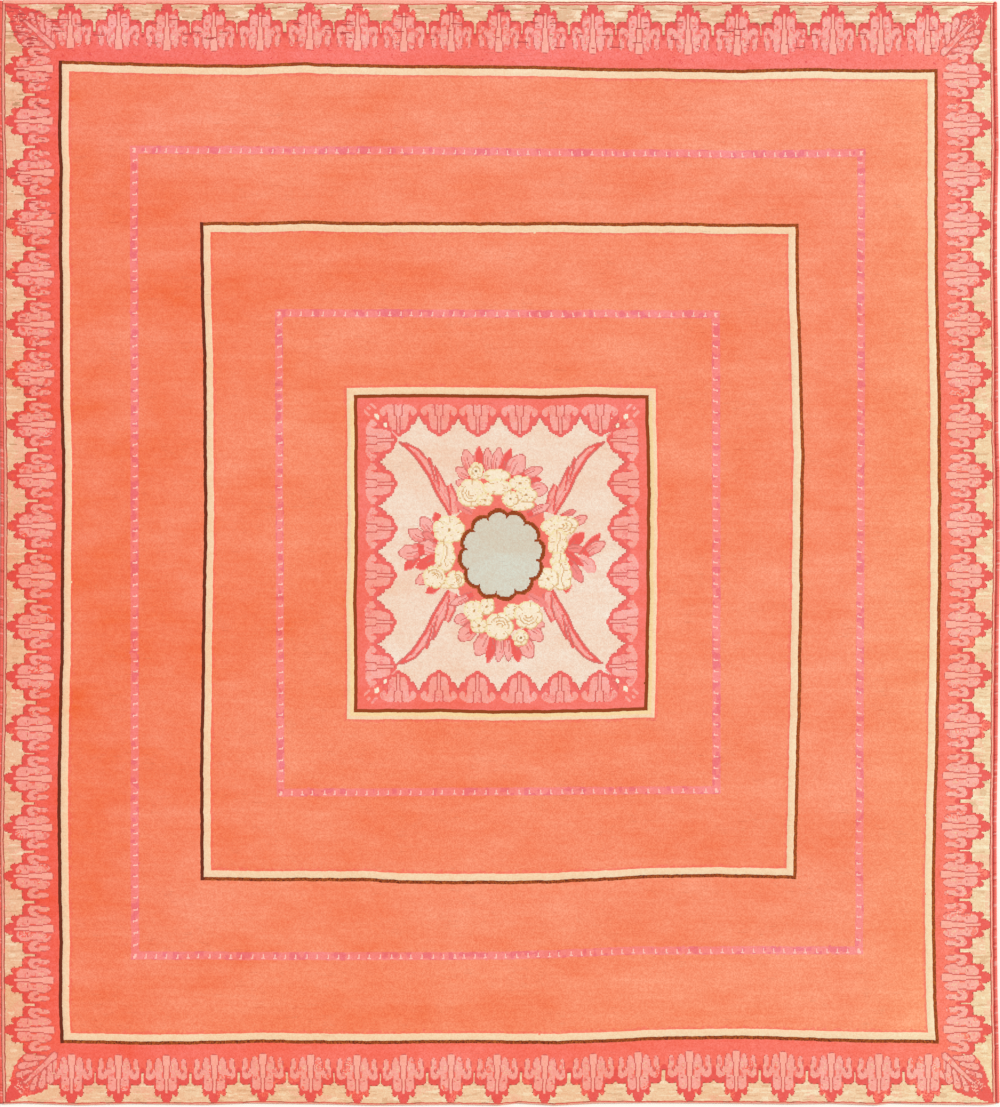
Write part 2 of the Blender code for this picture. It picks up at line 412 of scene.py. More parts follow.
def lay_grid():
    """The metre places of every corner between knots."""
    home_u = LEFT + STEP * np.arange(COLUMNS + 1)
    home_v = TOP + STEP * np.arange(ROWS + 1)
    upright = [(home_u[0], edge_u(LEFT_SIDE, home_v, -1))]
    upright += [(home, along(line, home_v)) for home, line in UPRIGHT_LINES]
    upright.append((home_u[-1], edge_u(RIGHT_SIDE, home_v, 1)))
    level = [(home_v[0], edge_v(TOP_END, home_u, -1))]
    level += [(home, along(line, home_u)) for home, line in LEVEL_LINES]
    level.append((home_v[-1], edge_v(BOTTOM_END, home_u, 1)))
    homes_u, homes_v = [h for h, _ in upright], [h for h, _ in level]
    places_u = np.array([p for _, p in upright])
    places_v = np.array([p for _, p in level])
    u = np.empty((ROWS + 1, COLUMNS + 1))
    v = np.empty((ROWS + 1, COLUMNS + 1))
    for row in range(ROWS + 1):
        u[row] = np.interp(home_u, homes_u, places_u[:, row])
    for col in range(COLUMNS + 1):
        v[:, col] = np.interp(home_v, homes_v, places_v[:, col])
    # Small unevenness of the knotting inside the outline
    inside = np.zeros_like(u)
    inside[1:-1, 1:-1] = 1.0
    u += inside * rng.normal(0, 0.085, u.shape)
    v += inside * rng.normal(0, 0.085, v.shape)
    u += inside * (0.30 * drift(u.shape, 60, 6, 11) + 0.30 * drift(u.shape, 230, 24, 13))
    v += inside * (0.30 * drift(v.shape, 6, 54, 12) + 0.30 * drift(v.shape, 24, 210, 14))
    x = (u - ORIGIN_U) * UNIT + ORIGIN_X
    y = (ORIGIN_V - v) * UNIT + ORIGIN_Y
    return x, y


# ---- drawing the design ----
CELL_U = LEFT + STEP * (np.arange(COLUMNS) + 0.5)[None, :] + np.zeros((ROWS, 1))
CELL_V = TOP + STEP * (np.arange(ROWS) + 0.5)[:, None] + np.zeros((1, COLUMNS))
CHART = np.full((ROWS, COLUMNS), Y["field"], dtype=np.int16)


def paint(mask, name):
    CHART[mask] = Y[name]


def ragged(count, size, seed, hold=2):
    """A line edge's unevenness from knot to knot, each value held for a few knots."""
    local = np.random.default_rng(seed)
    values = np.repeat(local.normal(0, size, count // hold + 2), hold)[:count]
    return values + 0.5 * size * np.interp(
        np.arange(count), np.arange(0, count + 9, 9), local.normal(0, 1, len(np.arange(0, count + 9, 9)))
    )


def inside_of(frame_row, size, seed):
    """How far each knot lies inside a rectangle, with an uneven edge."""
    left, right, top, bottom = frame_row[:4]
    across = [ragged(ROWS, size, seed + k)[:, None] for k in (0, 1)]
    down = [ragged(COLUMNS, size, seed + k)[None, :] for k in (2, 3)]
    return np.minimum.reduce(
        [
            CELL_U - left + across[0],
            right - CELL_U + across[1],
            CELL_V - top + down[0],
            bottom - CELL_V + down[1],
        ]
    )


def on_knots(row):
    """The same rectangle with its lines on the middles of the nearest knots."""
    starts = (LEFT, LEFT, TOP, TOP)
    moved = [start + STEP * (round((line - start) / STEP - 0.5) + 0.5) for line, start in zip(row, starts)]
    return tuple(moved)


def draw_frames():
    """Three frames: the outer two have brown outside cream, the middle one cream outside brown."""
    for number, frame_row in enumerate(FRAMES[:2]):
        row, brown, cream = on_knots(frame_row), 1.5 * STEP, 6.0 * STEP
        firm = inside_of(row, 0.0, 1)
        outer = inside_of(row, 0.14, 40 + 10 * number)
        inner = inside_of(row, 0.18, 45 + 10 * number)
        paint((firm > cream) & (inside_of(row, 0.7, 46 + 10 * number) < brown + cream + 2.2), "field_by_line")
        paint((firm > 0) & (inner < brown + cream), "cream")
        line = (outer > -brown) & (inside_of(row, 0.14, 48 + 10 * number) < brown)
        paint(line, "brown")
        # The left frame lines, and odd knots of the bottom ones, take a darker brown: painted shade, as if the raised
        # cream cast its shadow on them.
        painted_shade = (CELL_U < row[0] + brown) | (CELL_V > row[3] - brown) & (rng.random(CHART.shape) < 0.15)
        paint(line & painted_shade, "brown_dark")
        paint(line & ~painted_shade & (rng.random(CHART.shape) < 0.30), "brown_gold")
    row = on_knots(FRAMES[2])
    firm = inside_of(row, 0.0, 1)
    paint((firm > -12) & (inside_of(row, 0.6, 72) > -9.5 * STEP), "field_by_line")
    paint((firm > -12) & (inside_of(row, 0.14, 70) > -7.5 * STEP), "cream")
    old_gold = (firm > -4.5 * STEP) & (CELL_V > row[2] + 4)
    paint(old_gold, "cream_yellow")
    paint(inside_of(row, 0.14, 75) > -1.5 * STEP, "brown")
    paint(inside_of(row, 0.14, 80) > 1.5 * STEP, "rose_inner")


def draw_beads():
    """Bands of pink with small light hooked beads, every bead its own few knots."""
    for number, (left, right, top, bottom, across, down) in enumerate(BEADS):
        half = 3.5 * STEP
        ring = inside_of(on_knots((left, right, top, bottom)), 0.2, 100 + 10 * number)
        paint(np.abs(ring) < half, "band")
        mauve = drift(CHART.shape, 190, 190, 21 + number) > 0.3
        paint((np.abs(ring) < half) & mauve, "band_mauve")
        for side, at_v in ((0, top), (1, bottom)):
            for k in range(across + 1):
                u = left + (right - left) * k / across + pick.uniform(-0.7, 0.7)
                hand = -1 if u < 504 else 1
                if 5 < u - left and 5 < right - u:
                    bead(u, at_v, hand, upright=True)
        for side, at_u in ((-1, left), (1, right)):
            for k in range(down + 1):
                v = top + (bottom - top) * k / down + pick.uniform(-0.7, 0.7)
                if 3 < v - top and 3 < bottom - v:
                    bead(at_u, v, side, upright=False)
        for u, v, hand in ((left, top, -1), (right, top, 1), (left, bottom, -1), (right, bottom, 1)):
            bead(u, v, hand, upright=True)
            row, col = knot_at(u, v)
            turn = 1 if v == top else -1
            for down, over in ((-1, -1), (-1, 0), (-1, 1), (0, 1), (1, 1)):
                CHART[row + down * turn, col - over * hand] = Y["bead"]


def knot_at(u, v):
    return int((v - TOP) / STEP), int((u - LEFT) / STEP)


def bead(u, v, hand, upright):
    """A short stroke with a foot turned out at its end."""
    row, col = knot_at(u, v)
    if upright:
        strokes = [(r, 0) for r in (-1, 0, 1, 2)] + [(2, hand), (2, -hand)][: pick.choice((1, 1, 2))]
    else:
        strokes = [(0, c * hand) for c in (-2, -1, 0, 1)] + [(-1, -2 * hand)]
        strokes += [(1, 1 * hand)] if pick.random() < 0.3 else []
    for down, over in strokes:
        CHART[row + down, col + over] = Y["bead"]


def leaf_places(count, first, last, start, knots):
    """The knot column in which each leaf's middle falls, with a little of the weaver's drift."""
    gap = (last - first) / (count - 1)
    return [int(round((first + gap * k + pick.uniform(-0.8, 0.8) - start) / STEP)) for k in range(count)]


def chart_yarn(letter):
    return Y[LETTERS[letter]]


def draw_leaf_run(chart, middles, first, last, put, fill_after):
    """A run of one leaf chart, each knot column of the run taking the nearest leaf's column."""
    wide = max(len(row) for row in chart)
    middles = np.array(middles)
    half_pitch = float(np.mean(np.diff(middles))) / 2
    for column_number in range(first, last):
        far = np.abs(column_number + 0.5 - middles)
        across = min(int(far.min() * wide / half_pitch), wide - 1)
        for depth, row in enumerate(chart):
            letter = row[across] if across < len(row) else fill_after
            put(column_number, depth, letter)


def draw_border():
    """The running leaf border on the light outer ground, with a spray of fingers in each corner."""
    outside = inside_of(FRAMES[0], 0.0, 1) < -1.6
    paint(outside, "rose")
    depth = len(BORDER_LEAF)
    start_across = int((FIRST_ACROSS - 23.8 - LEFT) / STEP)
    end_across = int((LAST_ACROSS + 23.8 - LEFT) / STEP)
    start_down = int((FIRST_DOWN - 25.2 - TOP) / STEP)
    end_down = int((LAST_DOWN + 25.2 - TOP) / STEP)
    top_row, bottom_row, left_col, right_col = 3, ROWS - 3, 3, COLUMNS - 4
    across = leaf_places(LEAVES_ACROSS, FIRST_ACROSS, LAST_ACROSS, LEFT, COLUMNS)
    below = leaf_places(LEAVES_ACROSS, FIRST_ACROSS, LAST_ACROSS, LEFT, COLUMNS)
    downs = [leaf_places(LEAVES_DOWN, FIRST_DOWN, LAST_DOWN, TOP, ROWS) for _ in (0, 1)]

    def put_top(col, deep, letter):
        CHART[top_row + deep, col] = chart_yarn(letter)

    def put_bottom(col, deep, letter):
        CHART[bottom_row - deep, col] = chart_yarn(letter)

    def put_left(row, deep, letter):
        CHART[row, left_col + deep] = chart_yarn(letter)

    def put_right(row, deep, letter):
        CHART[row, right_col - deep] = chart_yarn(letter)

    draw_leaf_run(BORDER_LEAF, across, start_across, end_across, put_top, "P")
    draw_leaf_run(BORDER_LEAF, below, start_across, end_across, put_bottom, "P")
    draw_leaf_run(BORDER_LEAF, downs[0], start_down, end_down, put_left, "P")
    draw_leaf_run(BORDER_LEAF, downs[1], start_down, end_down, put_right, "P")
    for flip_u in (0, 1):
        for flip_v in (0, 1):
            cols = np.arange(COLUMNS)[None, :]
            rows = np.arange(ROWS)[:, None]
            from_side = (COLUMNS - 1 - cols if flip_u else cols) - 2.0
            from_end = (ROWS - 1 - rows if flip_v else rows) - 2.0
            across_first = (COLUMNS - end_across) if flip_u else start_across
            down_first = (ROWS - end_down) if flip_v else start_down
            square = (from_side + 2 < across_first) & (from_end + 2 < down_first)
            draw_corner(from_side * STEP + 0 * from_end, from_end * STEP + 0 * from_side, square)


CORNER_SHAPE = (  # along the diagonal from the corner, half width
    (0.0, 1.5), (5.0, 4.6), (10.5, 7.6), (16.5, 9.0), (17.5, 12.0), (23.0, 14.0), (24.0, 15.6), (30.0, 17.2),
    (31.0, 18.6), (37.0, 19.4), (38.0, 20.4), (80.0, 21.0),
)  # fmt: skip
CORNER_FINGERS = (  # from the corner: start a, start b, end a, end b, half width at start, at end
    (44.5, 38.5, 44.0, 21.5, 1.8, 3.3),
    (38.5, 31.0, 35.5, 16.5, 1.8, 3.3),
    (31.0, 26.0, 26.5, 13.0, 1.4, 2.5),
)  # fmt: skip


def strand(a, b, start_a, start_b, end_a, end_b, half_start, half_end):
    """How far inside a tapered round-ended strand each knot lies; below nothing is outside."""
    length = math.hypot(end_a - start_a, end_b - start_b)
    du, dv = (end_a - start_a) / length, (end_b - start_b) / length
    run = (a - start_a) * du + (b - start_b) * dv
    share = np.clip(run / length, 0.0, 1.0)
    gap = np.hypot(a - start_a - share * length * du, b - start_b - share * length * dv)
    return half_start + (half_end - half_start) * share - gap


def draw_corner(a, b, square):
    """A spray of rounded fingers along the diagonal, a and b being the distances from the two edges."""
    far = (a + b) / math.sqrt(2)
    side = np.abs(a - b) / math.sqrt(2)
    half = np.interp(far, column(CORNER_SHAPE, 0), column(CORNER_SHAPE, 1))
    paint(square, "ground")
    body = square & (side < half)
    paint(body, "leaf_red")
    paint(body & (far > 34) & (side < half - 3), "rose")
    reach = (a < 52) & (b < 52)
    for row in CORNER_FINGERS:
        for one, other in ((a, b), (b, a)):
            depth = strand(one, other, *row)
            paint(reach & (depth > -1.1), "vein")
            paint(reach & (depth > 0.0), "leaf_light")
            fold = strand(one, other, row[0], row[1] - 8, row[2], row[3] + 4, 0.1, 0.5)
            paint(reach & (depth > 0.6) & (fold > 0), "vein")
    depth = strand(a, b, 48.5, 46.5, 19.0, 18.5, 2.9, 1.0)
    paint(reach & (depth > -1.1), "vein")
    paint(reach & (depth > 0.0), "leaf_light")
    crumbs = (far > 16) & (far < 29) & (side < 6.0)
    grains = rng.random(CHART.shape)
    paint(body & crumbs & (grains < 0.24), "vein")
    paint(body & crumbs & (grains > 0.72), "leaf_stem")


def draw_edge_lines():
    """The guard lines just inside the outline."""
    cols = np.arange(COLUMNS)
    rows = np.arange(ROWS)
    CHART[:, 0:2] = Y["guard"]
    CHART[:, 2] = np.where((rows // 4) % 9 > 0, Y["guard_dark"], Y["guard_red"])
    CHART[:, -1] = Y["guard_red"]
    CHART[:, -2] = Y["guard"]
    CHART[:, -3] = np.where((rows // 5) % 8 > 0, Y["guard_dark"], Y["guard_red"])
    high = np.round(0.6 * drift((1, COLUMNS), 1, 26, 5)[0]).astype(int)
    for col in cols:
        low = 3 + min(0, high[col])
        CHART[0:low, col] = Y["guard"]
        CHART[low, col] = Y["guard_red"]
        if CELL_U[0, col] > 477:
            CHART[0, col] = Y["ground_light"]
            CHART[1, col] = Y["guard_dark"] if CELL_U[0, col] < 700 or (col // 7) % 5 == 0 else Y["guard_red"]
    CHART[-1, :] = Y["guard"]
    CHART[-2, :] = np.where((cols // 6) % 5 > 0, Y["guard_red"], Y["guard_dark"])


def draw_inner_leaves():
    """Six leaves a side round the inside of the middle square, tips to the middle, on the light ground."""
    left, right, top, bottom = FRAMES[2]
    band = 8.6
    inside = inside_of(FRAMES[2], 0.0, 1) > band
    paint(inside, "rose_inner")
    deep = len(INNER_LEAF)
    field = inside_of((left + band, right - band, top + band, bottom - band), 0.0, 1)
    paint(field > (deep - 2) * STEP, "peach")
    across_u = [397.7, 438.6, 478.5, 520.5, 561.2, 600.8]
    down_v = [439.5, 483.5, 527.5, 575.0, 621.4, 666.7]
    first_row, first_col = knot_at(left + band, top + band)
    last_row, last_col = knot_at(right - band, bottom - band)
    across = [int(round((u - LEFT) / STEP)) for u in across_u]
    down = [int(round((v - TOP) / STEP)) for v in down_v]
    col_from, col_to = knot_at(across_u[0] - 20.5, 0)[1], knot_at(across_u[-1] + 20.5, 0)[1]
    row_from, row_to = knot_at(0, down_v[0] - 22.6)[0], knot_at(0, down_v[-1] + 22.6)[0]

    def put(rows_first):
        def at(place, depth, letter):
            back = deep - 1 - depth
            row, col = rows_first(place, back)
            if letter == ".":
                if CHART[row, col] == Y["rose_inner"]:
                    CHART[row, col] = Y["peach"]
            else:
                CHART[row, col] = chart_yarn(letter)

        return at

    draw_leaf_run(INNER_LEAF, across, col_from, col_to, put(lambda p, k: (first_row + k, p)), "r")
    draw_leaf_run(INNER_LEAF, across, col_from, col_to, put(lambda p, k: (last_row - k, p)), "r")
    draw_leaf_run(INNER_LEAF, down, row_from, row_to, put(lambda p, k: (p, first_col + k)), "r")
    draw_leaf_run(INNER_LEAF, down, row_from, row_to, put(lambda p, k: (p, last_col - k)), "r")
    for sign_u in (-1, 1):
        for sign_v in (-1, 1):
            corner_u = (left + band) if sign_u < 0 else (right - band)
            corner_v = (top + band) if sign_v < 0 else (bottom - band)
            a = (CELL_U - corner_u) * -sign_u
            b = (CELL_V - corner_v) * -sign_v
            reach = (a > -1) & (b > -1) & (a < 33) & (b < 36)
            far, side = (a + b) / math.sqrt(2), np.abs(a - b) / math.sqrt(2)
            nook = reach & (a < 17.5) & (b < 17.5) & (CHART != Y["inner_light"])
            nook |= reach & (far < 35) & (side < 9) & (CHART == Y["peach"])
            paint(nook, "rose_inner")
            paint(nook & (np.abs(side - 5.0) < 1.3) & (far > 4) & (far < 12), "inner_light")
            paint(nook & (side < 1.2) & (np.abs(far - 5.5) < 1.8), "inner_light")
            paint(reach & (np.hypot(side / 2.2, (far - 17.2) / 3.2) < 1), "ivory")
            paint(reach & (np.hypot(side / 1.8, (far - 29.5) / 2.3) < 1), "ivory")
            paint(reach & (side < 0.9) & (np.abs(far - 42.0) < 3.4), "inner_light")


def turned(u, v, direction):
    """Each knot's distance along and across a line through a point; directions run anticlockwise."""
    angle = math.radians(direction)
    du, dv = CELL_U - u, -(CELL_V - v)
    return du * math.cos(angle) + dv * math.sin(angle), -du * math.sin(angle) + dv * math.cos(angle)


def draw_petal(u, v, length, width, direction, name, lined):
    """A pointed leaf with a drawn edge and a middle line."""
    # Its base runs on under the blossoms
    deeper, length = 0.16 * length, 1.32 * length
    angle = math.radians(direction)
    run, off = turned(u - deeper * math.cos(angle), v + deeper * math.sin(angle), direction)
    width *= 1.12
    share = np.clip(run / length + 0.5, 0.0, 1.0)
    swell = 0.66 + 0.34 * np.sin(math.pi / 2 * np.clip(share / 0.62, 0.0, 1.0))
    half = width / 2 * swell * np.clip((1.02 - share) / 0.36, 0.0, 1.0) ** 0.62
    off = off + width * 0.20 * np.clip(share - 0.45, 0.0, 1.0) ** 1.2
    body = (np.abs(run) < length / 2) & (np.abs(off) < half)
    if lined:
        paint(body, "petal_line")
        inner = body & (np.abs(off) < half - 1.1) & (run < length / 2 - 1.6)
        paint(inner, name)
        paint(inner & (share < 0.45) & (np.abs(off) > half * 0.35), "petal_mid")
        paint(inner & (np.abs(off - half * 0.5) < 0.6) & (share < 0.72), "petal_mid")
        paint(inner & (np.abs(off - 0.4) < 0.5) & (share < 0.66), "petal_line")
        paint(inner & (share < 0.24), "petal_red")
    else:
        paint(body, name)
        paint(body & (off > half - 1.4) & (share > 0.3), "petal_mid")
        paint(body & (np.abs(off) < 0.5) & (share < 0.5), "petal_line")


def draw_blossom(u, v, wide, tall, tilt, frills, middle, seed):
    """A frilled blossom in ivory: pale yellow rims, a tan line of painted shade along its lower right edge, and its
    heart.
    """
    run, off = turned(u, v, tilt)
    pixel = 4.0 / (wide + tall)
    radius = np.hypot(run / (wide / 2), off / (tall / 2))
    angle = np.arctan2(off, run)
    lobes = np.abs(np.cos(frills * angle / 2 + seed))
    rim = 0.90 + 0.14 * lobes**0.6
    body = radius < rim
    paint(body, "ivory")
    paint(body & (radius > rim - 1.9 * pixel), "blossom_rim")
    ticks = rng.random(CHART.shape) < 0.022
    ticks |= np.roll(ticks, 1, axis=1)
    paint(body & ticks & (radius < rim - 1.9 * pixel), "blossom_rim")
    paint(body & np.roll(ticks, 5, axis=0) & (radius > 0.3) & (rng.random(CHART.shape) < 0.5), "blossom_line")
    # A tan line on the lower right edge of each blossom: painted shade.
    painted_shade = np.cos(angle + math.radians(tilt) + 0.8) > 0.15
    paint(body & painted_shade & (radius > rim - 1.25 * pixel), "blossom_line")
    paint(body & (lobes < 0.13) & (radius > 0.55), "blossom_line")
    if middle == "arc":
        for at, limit in ((0.64, -0.05), (0.40, -0.4)):
            paint(body & (np.abs(radius - at) < 0.62 * pixel) & (np.sin(angle + seed) < limit), "blossom_line")
        paint(body & (np.abs(radius - 0.22) < 0.6 * pixel) & (np.sin(angle + seed) < 0), "ochre")
    elif middle == "ring":
        paint(body & (np.abs(radius - 0.5) < 0.7 * pixel) & (np.cos(angle + seed) > -0.7), "blossom_line")
        paint(body & (radius < 0.16), "olive")
    elif middle == "dot":
        paint(body & (np.abs(radius - 0.42) < 0.7 * pixel) & (np.sin(frills * angle + 2.0) > 0.35), "blossom_rim")
        paint(body & (radius < 1.5 * pixel), "ochre")
        paint(body & (radius < 0.75 * pixel), "olive")
    elif middle == "line":
        bend = np.abs(run - 1.6 * np.sin(off / 3.4) - 1.0)
        paint(body & (bend < 0.6) & (radius < 0.74), "blossom_line")
        paint(body & (bend > 3.0) & (bend < 4.2) & (radius < 0.6) & (run < 0), "blossom_rim")


def draw_spray(tip_u, tip_v, base_u, base_v, bow):
    """A long curved leaf with a smooth outer edge and saw teeth on the inner one."""
    count = 70
    share = np.linspace(0, 1, count)
    du, dv = base_u - tip_u, base_v - tip_v
    size = math.hypot(du, dv)
    normal_u, normal_v = -dv / size, du / size
    swell = along(SPRAY_BEND, share) * abs(bow)
    sign = 1 if bow > 0 else -1
    line_u = tip_u + du * share + normal_u * sign * -swell
    line_v = tip_v + dv * share + normal_v * sign * -swell
    near = (np.abs(CELL_U - (tip_u + base_u) / 2) < abs(du) / 2 + 16) & (
        np.abs(CELL_V - (tip_v + base_v) / 2) < abs(dv) / 2 + 14
    )
    rows, cols = np.nonzero(near)
    cu, cv = CELL_U[rows, cols], CELL_V[rows, cols]
    gaps = np.hypot(cu[:, None] - line_u[None, :], cv[:, None] - line_v[None, :])
    best = gaps.argmin(axis=1)
    at = share[best]
    tangent_u, tangent_v = np.gradient(line_u)[best], np.gradient(line_v)[best]
    cross = (tangent_u * (cv - line_v[best]) - tangent_v * (cu - line_u[best])) * sign
    off = gaps[np.arange(len(best)), best]
    inner = cross < 0
    smooth_half = along(SPRAY_WIDTH, at)
    barbs = np.zeros_like(at)
    for point, reach, fade in SPRAY_BARBS:
        barbs = np.where(at > point, reach * np.clip(1 - (at - point) / fade, 0, 1), barbs)
    half = smooth_half + np.where(inner, barbs, 0.0)
    ends = (best > 0) & (best < count - 1)
    body = (off < half) & ends
    line = body & (off > half - 1.2)
    rim = np.where(inner, 2.5, 3.3)
    light = body & ~line & (at > 0.13) & (off < half - rim)
    names = np.where(light, Y["inner_light"], np.where(inner & (at > 0.3), Y["inner_rim"], Y["petal_red"]))
    names = np.where(light & (off < 2.0), Y["petal_light"], names)
    names = np.where(line, Y["petal_line"], names)
    signed = off * np.where(inner, 1, -1)
    for point, reach, _ in SPRAY_BARBS:
        run = (at - point) / 0.26
        seam = (1 - run) * (float(along(SPRAY_WIDTH, point)) - 0.5) - run * 2.6
        held = body & ~line & (run > 0) & (run < 1)
        names = np.where(held & (np.abs(signed - seam) < 0.62), Y["petal_line"], names)
        names = np.where(held & (signed - seam > 0.62) & (signed - seam < 1.9), Y["petal_red"], names)
    ribs = light & (np.abs(signed + 1.4 - 0.8 * np.sin(at * 11)) < 0.5) & (at > 0.2)
    names = np.where(ribs, Y["petal_mid"], names)
    CHART[rows[body], cols[body]] = names[body]


def draw_roundel():
    """A round of twelve scallops in pale grey green, outlined in brown, on a coral ground."""
    u, v = 501.6, 553.8
    run, off = (CELL_U - u) / 44.0, (CELL_V - v) / 46.0
    radius = np.hypot(run, off)
    angle = np.arctan2(off, run) + 0.13
    lobe = np.abs(np.cos(angle * 6.0))
    rim = 0.905 + 0.105 * lobe**0.6
    line = 0.095
    ground = radius < 1.13 + 0.04 * np.sin(angle * 4 + 0.6) + 0.24 * np.sin(2 * angle) ** 4
    paint(ground, "coral_ground")
    return radius, rim, line, lobe


def draw_centre():
    draw_inner_leaves()
    radius, rim, line, lobe = draw_roundel()
    for row in SPRAYS:
        draw_spray(*row)
    for u, v, half_wide, half_tall in BEDS:
        paint(np.hypot((CELL_U - u) / half_wide, (CELL_V - v) / half_tall) < 1, "coral_ground")
    for row in PETALS:
        draw_petal(*row)
    for number, row in enumerate(BLOSSOMS):
        draw_blossom(*row, seed=number * 1.3)
    paint(radius < rim, "brown")
    paint(radius < rim - line, "roundel")
    paint((radius < rim) & (radius > rim - line - 0.035) & (lobe < 0.16), "brown")
    gold = (CHART == Y["brown"]) & (radius < 1.1) & (radius > rim - 0.03) & (rng.random(CHART.shape) < 0.4)
    paint(gold, "brown_gold")


def draw_wear():
    """Odd knots of another dye lot, and short level runs where the foundation shows through the border."""
    grains = rng.random(CHART.shape)
    patch = drift(CHART.shape, 60, 60, 31)
    streak = drift(CHART.shape, ROWS * 2 // 3, COLUMNS // 9, 35)
    ground = CHART == Y["ground"]
    CHART[ground & (patch > 0.25) & (grains < 0.8)] = Y["ground_pink"]
    top = (CELL_V < 60) & ground
    CHART[ground & (streak > 0.52)] = Y["ground_light"]
    CHART[ground & (streak < -0.62)] = Y["ground_dark"]
    CHART[top & (streak < -0.02)] = Y["ground_dark"]
    light = CHART == Y["leaf_light"]
    CHART[light & (grains < 0.04)] = Y["ground_pink"]
    slow = drift(CHART.shape, 130, 110, 33)
    # The top and the upper left side are more faded than the rest
    quick = drift(CHART.shape, 430, 390, 37)
    quick = quick * np.where((CELL_V < 62) | ((CELL_U < 58) & (CELL_V < 560)), 1.0, 0.62)
    CHART[light & (quick > 0.42)] = Y["leaf_mid"]
    CHART[light & (quick > 0.72)] = Y["rose"]
    CHART[light & (quick < -0.72)] = Y["leaf_stem"]
    CHART[(CHART == Y["rose"]) & (quick < -0.66) & (grains < 0.5)] = Y["leaf_red"]
    CHART[light & (slow > 0.72) & (grains > 0.5)] = Y["rose"]
    CHART[(CHART == Y["leaf_red"]) & (slow < -0.45) & (grains > 0.35)] = Y["rose"]
    inner_light = CHART == Y["inner_light"]
    CHART[inner_light & (slow > 0.35) & (grains < 0.6)] = Y["petal_light"]
    CHART[inner_light & (slow < -0.5) & (grains > 0.55)] = Y["petal_mid"]
    pale = [Y[name] for name in ("ground", "ground_pink", "ground_light", "ground_dark")]
    for _ in range(170):
        u, v = 6 + 940 * pick.random() ** 1.7, 7 + 40 * pick.random() ** 1.6
        row, col = knot_at(u, v)
        for over in range(pick.randint(2, 11)):
            bare = CHART[row, col + over] in pale
            CHART[row, col + over] = Y["worn_ground"] if bare else Y["worn_red"]
    for _ in range(60):
        u, v = 8 + 42 * pick.random(), 50 + 420 * pick.random() ** 1.6
        row, col = knot_at(u, v)
        for over in range(pick.randint(2, 8)):
            bare = CHART[row, col + over] in pale
            CHART[row, col + over] = Y["worn_ground"] if bare else Y["worn_red"]


draw_frames()
draw_beads()
draw_border()
draw_edge_lines()
draw_centre()
draw_wear()

# ---- heights ----
RAISE = column([(row[4],) for row in YARNS], 0) * MM


def corner_heights(x, y):
    """Pile height at every corner between knots."""
    cell = RAISE[CHART]
    padded = np.pad(cell, 1, mode="edge")
    height = (padded[:-1, :-1] + padded[1:, :-1] + padded[:-1, 1:] + padded[1:, 1:]) / 4
    height = height + PILE_TOP
    height += 0.00030 * drift(height.shape, 14, 9, 41)
    height += 0.00022 * drift(height.shape, 60, 30, 42)
    height += rng.normal(0, 0.00007, height.shape)
    # A fold mark from storage, across the two upper frames
    fold = np.exp(-(((x - (305 - ORIGIN_U) * UNIT) / 0.012) ** 2)) * np.clip((y - 0.75) / 0.5, 0, 1)
    height += 0.0008 * fold
    seam = np.exp(-(((x - (507 - ORIGIN_U) * UNIT) / 0.006) ** 2))
    height -= 0.00035 * seam
    rows = np.minimum(np.arange(ROWS + 1), np.arange(ROWS + 1)[::-1])[:, None]
    cols = np.minimum(np.arange(COLUMNS + 1), np.arange(COLUMNS + 1)[::-1])[None, :]
    height -= 0.0016 * (rows == 0) + 0.0005 * (rows == 1)
    height -= np.where(cols == 0, 0.0012, 0) + np.where(cols == 1, 0.0004, 0)
    return height


# ---- blocks of one yarn ----
def tile_cuts(count, parts, unit=8):
    whole = [int(round(count * k / parts / unit)) * unit for k in range(parts)]
    return whole + [count]


ROW_CUTS = tile_cuts(ROWS, 4)
COL_CUTS = tile_cuts(COLUMNS, 4)
COARSE = {"field": 8}  # the largest block of each yarn, in knots; four if it isn't named


def choose_blocks(chart, cuts_down, cuts_over, sizes, limit):
    """The block size at every knot: the largest aligned square of one yarn that it lies in."""
    level = np.ones(chart.shape, dtype=np.int16)
    cap = np.array([limit.get(name, 4) for name in NAMES])[chart]
    edge = np.zeros(chart.shape, dtype=bool)
    edge[:2], edge[-2:], edge[:, :2], edge[:, -2:] = True, True, True, True
    for r0, r1 in zip(cuts_down, cuts_down[1:]):
        for c0, c1 in zip(cuts_over, cuts_over[1:]):
            for size in sizes:
                down, over = (r1 - r0) // size, (c1 - c0) // size
                if not (down and over):
                    continue
                part = np.s_[r0 : r0 + down * size, c0 : c0 + over * size]
                shape = (down, size, over, size)
                block = chart[part].reshape(shape)
                one = block.min(axis=(1, 3)) == block.max(axis=(1, 3))
                one &= level[part].reshape(shape).max(axis=(1, 3)) == 1
                one &= cap[part].reshape(shape).min(axis=(1, 3)) >= size
                one &= ~edge[part].reshape(shape).any(axis=(1, 3))
                grown = np.repeat(np.repeat(one, size, axis=0), size, axis=1)
                view = level[part]
                view[grown] = size
    return level


def block_corners(level, cuts_down, cuts_over):
    """Which block each knot starts, and every grid corner that a block uses."""
    used = np.zeros((level.shape[0] + 1, level.shape[1] + 1), dtype=bool)
    starts = []
    for r0, r1 in zip(cuts_down, cuts_down[1:]):
        for c0, c1 in zip(cuts_over, cuts_over[1:]):
            rows, cols = np.mgrid[r0:r1, c0:c1]
            size = level[r0:r1, c0:c1]
            first = ((rows - r0) % size == 0) & ((cols - c0) % size == 0)
            rows, cols, size = rows[first], cols[first], size[first]
            for down in (0, 1):
                for over in (0, 1):
                    used[rows + size * down, cols + size * over] = True
            starts.append(((r0, r1, c0, c1), rows, cols, size))
    return used, starts


